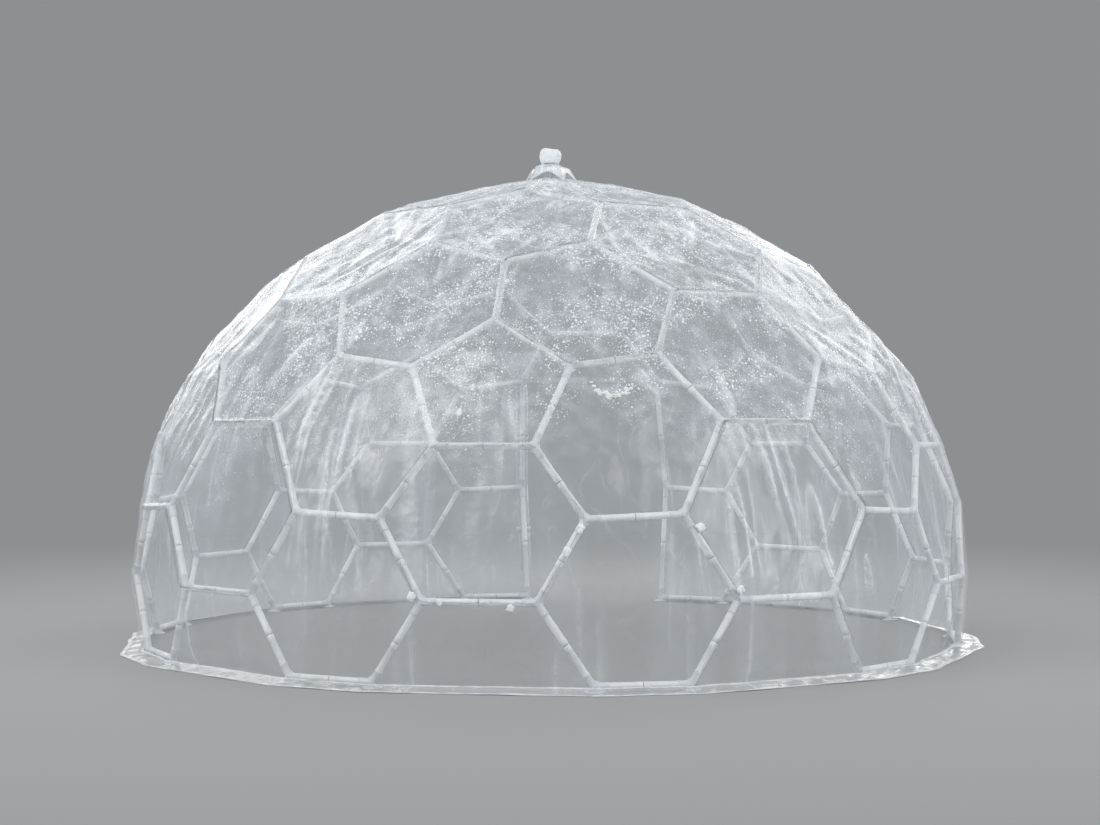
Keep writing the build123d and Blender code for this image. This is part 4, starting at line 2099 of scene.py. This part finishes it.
@dataclass
class Studio:
    """Floor, soft light and the camera at the photograph's place."""

    backdrop: Colour = (0.262, 0.278, 0.292, 1.0)
    floor_colour: Colour = (0.37, 0.374, 0.378, 1.0)
    floor_radius: float = 60.0
    floor_sides: int = 96
    sky: Colour = (0.90, 0.95, 1.0, 1.0)
    sky_strength: float = 0.6
    lamps_at: Point = (0.0, 0.0, 0.9)
    camera_at: Point = (1.07, -7.70, 0.87)
    look_at: Point = (0.0, 0.0, 0.985)
    lens: float = 57.5
    eye_distance: float = 7.7
    fade_start: float = 1.9
    fade_end: float = 8.4

    def build(self) -> None:
        """Makes the whole stage."""
        self.floor()
        self.world()
        self.lamp("key", (-4.5, -6.0, 6.5), 6.5, 296.0)
        self.lamp("fill", (6.5, -4.5, 3.6), 5.0, 160.0)
        self.lamp("back_left", (-5.5, 6.0, 5.0), 5.5, 205.0)
        self.lamp("back_right", (4.0, 6.5, 6.0), 5.5, 165.0)
        self.lamp("strip_left", (-5.6, -5.2, 2.7), 0.8, 38.0, 4.8)
        self.lamp("strip_right", (6.6, -3.6, 2.7), 0.8, 46.0, 4.8)
        self.lamp("strip_back", (2.4, 7.6, 2.7), 0.8, 46.0, 4.8)
        self.camera()
        bpy.context.scene.view_settings.view_transform = "Standard"

    def floor(self) -> None:
        """Makes the floor, which fades evenly in the picture from the dome out into the backdrop."""
        mesh = bpy.data.meshes.new("floor")
        count = self.floor_sides
        ring = [spoke(RIGHT, BACK, FULL * k / count) * self.floor_radius for k in range(count)]
        mesh.from_pydata([tuple(point) for point in ring], [], [tuple(range(count))])
        material = bpy.data.materials.new("floor_paint")
        material.use_nodes = True
        bench = NodeBench(material.node_tree)
        output = next(node for node in material.node_tree.nodes if node.type == "OUTPUT_MATERIAL")
        paint = bench.node("ShaderNodeBsdfDiffuse", Color=self.floor_colour)
        away = bench.vector("LENGTH", bench.place()).outputs["Value"]
        eye = self.eye_distance
        nearness = bench.math("DIVIDE", 1.0, bench.plus(away, eye))
        fade = bench.ramp(nearness, 1.0 / (eye + self.fade_start), 1.0 / (eye + self.fade_end))
        glow = bench.node("ShaderNodeEmission", Color=self.backdrop, Strength=1.0)
        self.blend(bench, fade, paint, glow, output)
        mesh.materials.append(material)
        floor = bpy.data.objects.new("floor", mesh)
        bpy.context.scene.collection.objects.link(floor)

    def world(self) -> None:
        """Sets the soft light all round, and the backdrop's colour where the camera sees it."""
        world = bpy.data.worlds.new("soft_studio")
        bpy.context.scene.world = world
        world.use_nodes = True
        bench = NodeBench(world.node_tree)
        world.node_tree.nodes.clear()
        path = bench.node("ShaderNodeLightPath").outputs
        seen = bench.math("MAXIMUM", path["Is Camera Ray"], path["Is Transmission Ray"])
        light = bench.node("ShaderNodeBackground", Color=self.sky, Strength=self.sky_strength)
        shown = bench.node("ShaderNodeBackground", Color=self.backdrop, Strength=1.0)
        self.blend(bench, seen, light, shown, bench.node("ShaderNodeOutputWorld"))

    @staticmethod
    def blend(
            bench: NodeBench, share: Socket, first: Node, second: Node,
            output: Node) -> None:
        """Mixes two shaders into an output.

        Args:
            bench: The tree's bench.
            share: The socket of how much of the second there is.
            first: A shader.
            second: A shader.
            output: The tree's output.
        """
        mixed = bench.node("ShaderNodeMixShader")
        for socket, value in zip(mixed.inputs, (share, first.outputs[0], second.outputs[0])):
            bench.feed(socket, value)
        bench.feed(output.inputs["Surface"], mixed.outputs[0])

    def lamp(self, name: str, place: Point, size: float, power: float, tall: float | None = None) -> None:
        """Adds a soft lamp that points at the dome.

        Args:
            name: Its name.
            place: Where it stands.
            size: Its width.
            power: Its power in watts.
            tall: Its height, the same as its width where none is given.
        """
        data = bpy.data.lights.new(name, "AREA")
        data.shape = "RECTANGLE"
        data.size, data.size_y, data.energy = size, tall or size, power
        made = bpy.data.objects.new(name, data)
        made.location = place
        made.rotation_euler = self.facing(place, self.lamps_at)
        bpy.context.scene.collection.objects.link(made)

    @staticmethod
    def facing(place: Point, target: Point) -> Euler:
        """The turn of a lamp or camera that points from a place at a target."""
        return (Vector(target) - Vector(place)).to_track_quat("-Z", "Y").to_euler()

    def camera(self) -> None:
        """Makes the camera."""
        data = bpy.data.cameras.new("camera")
        data.lens, data.sensor_width = self.lens, 36.0
        made = bpy.data.objects.new("camera", data)
        made.location = self.camera_at
        made.rotation_euler = self.facing(self.camera_at, self.look_at)
        bpy.context.scene.collection.objects.link(made)
        bpy.context.scene.camera = made


def main() -> None:
    """Builds every piece in order, then the stage."""
    logging.basicConfig(level=logging.INFO, format="%(name)s %(message)s")
    network = Network(DomeSizes())
    finishes = FinishShelf()
    TubeSet(network, finishes).build()
    HubSet(network, finishes).build()
    cover = FilmCover(network, finishes)
    film = cover.build()
    hem = HemSkirt(network, cover, finishes).build()
    roll, _ = DoorRoll(network, finishes).build()
    trim = DoorTrim(network, finishes).build()
    cap = VentCap(cover, finishes)
    tent, on_tent = cap.build()
    rim = cap.rim()
    FrostClumps(network, cover, finishes).build()
    Studio().build()


if __name__ == "__main__":
    main()
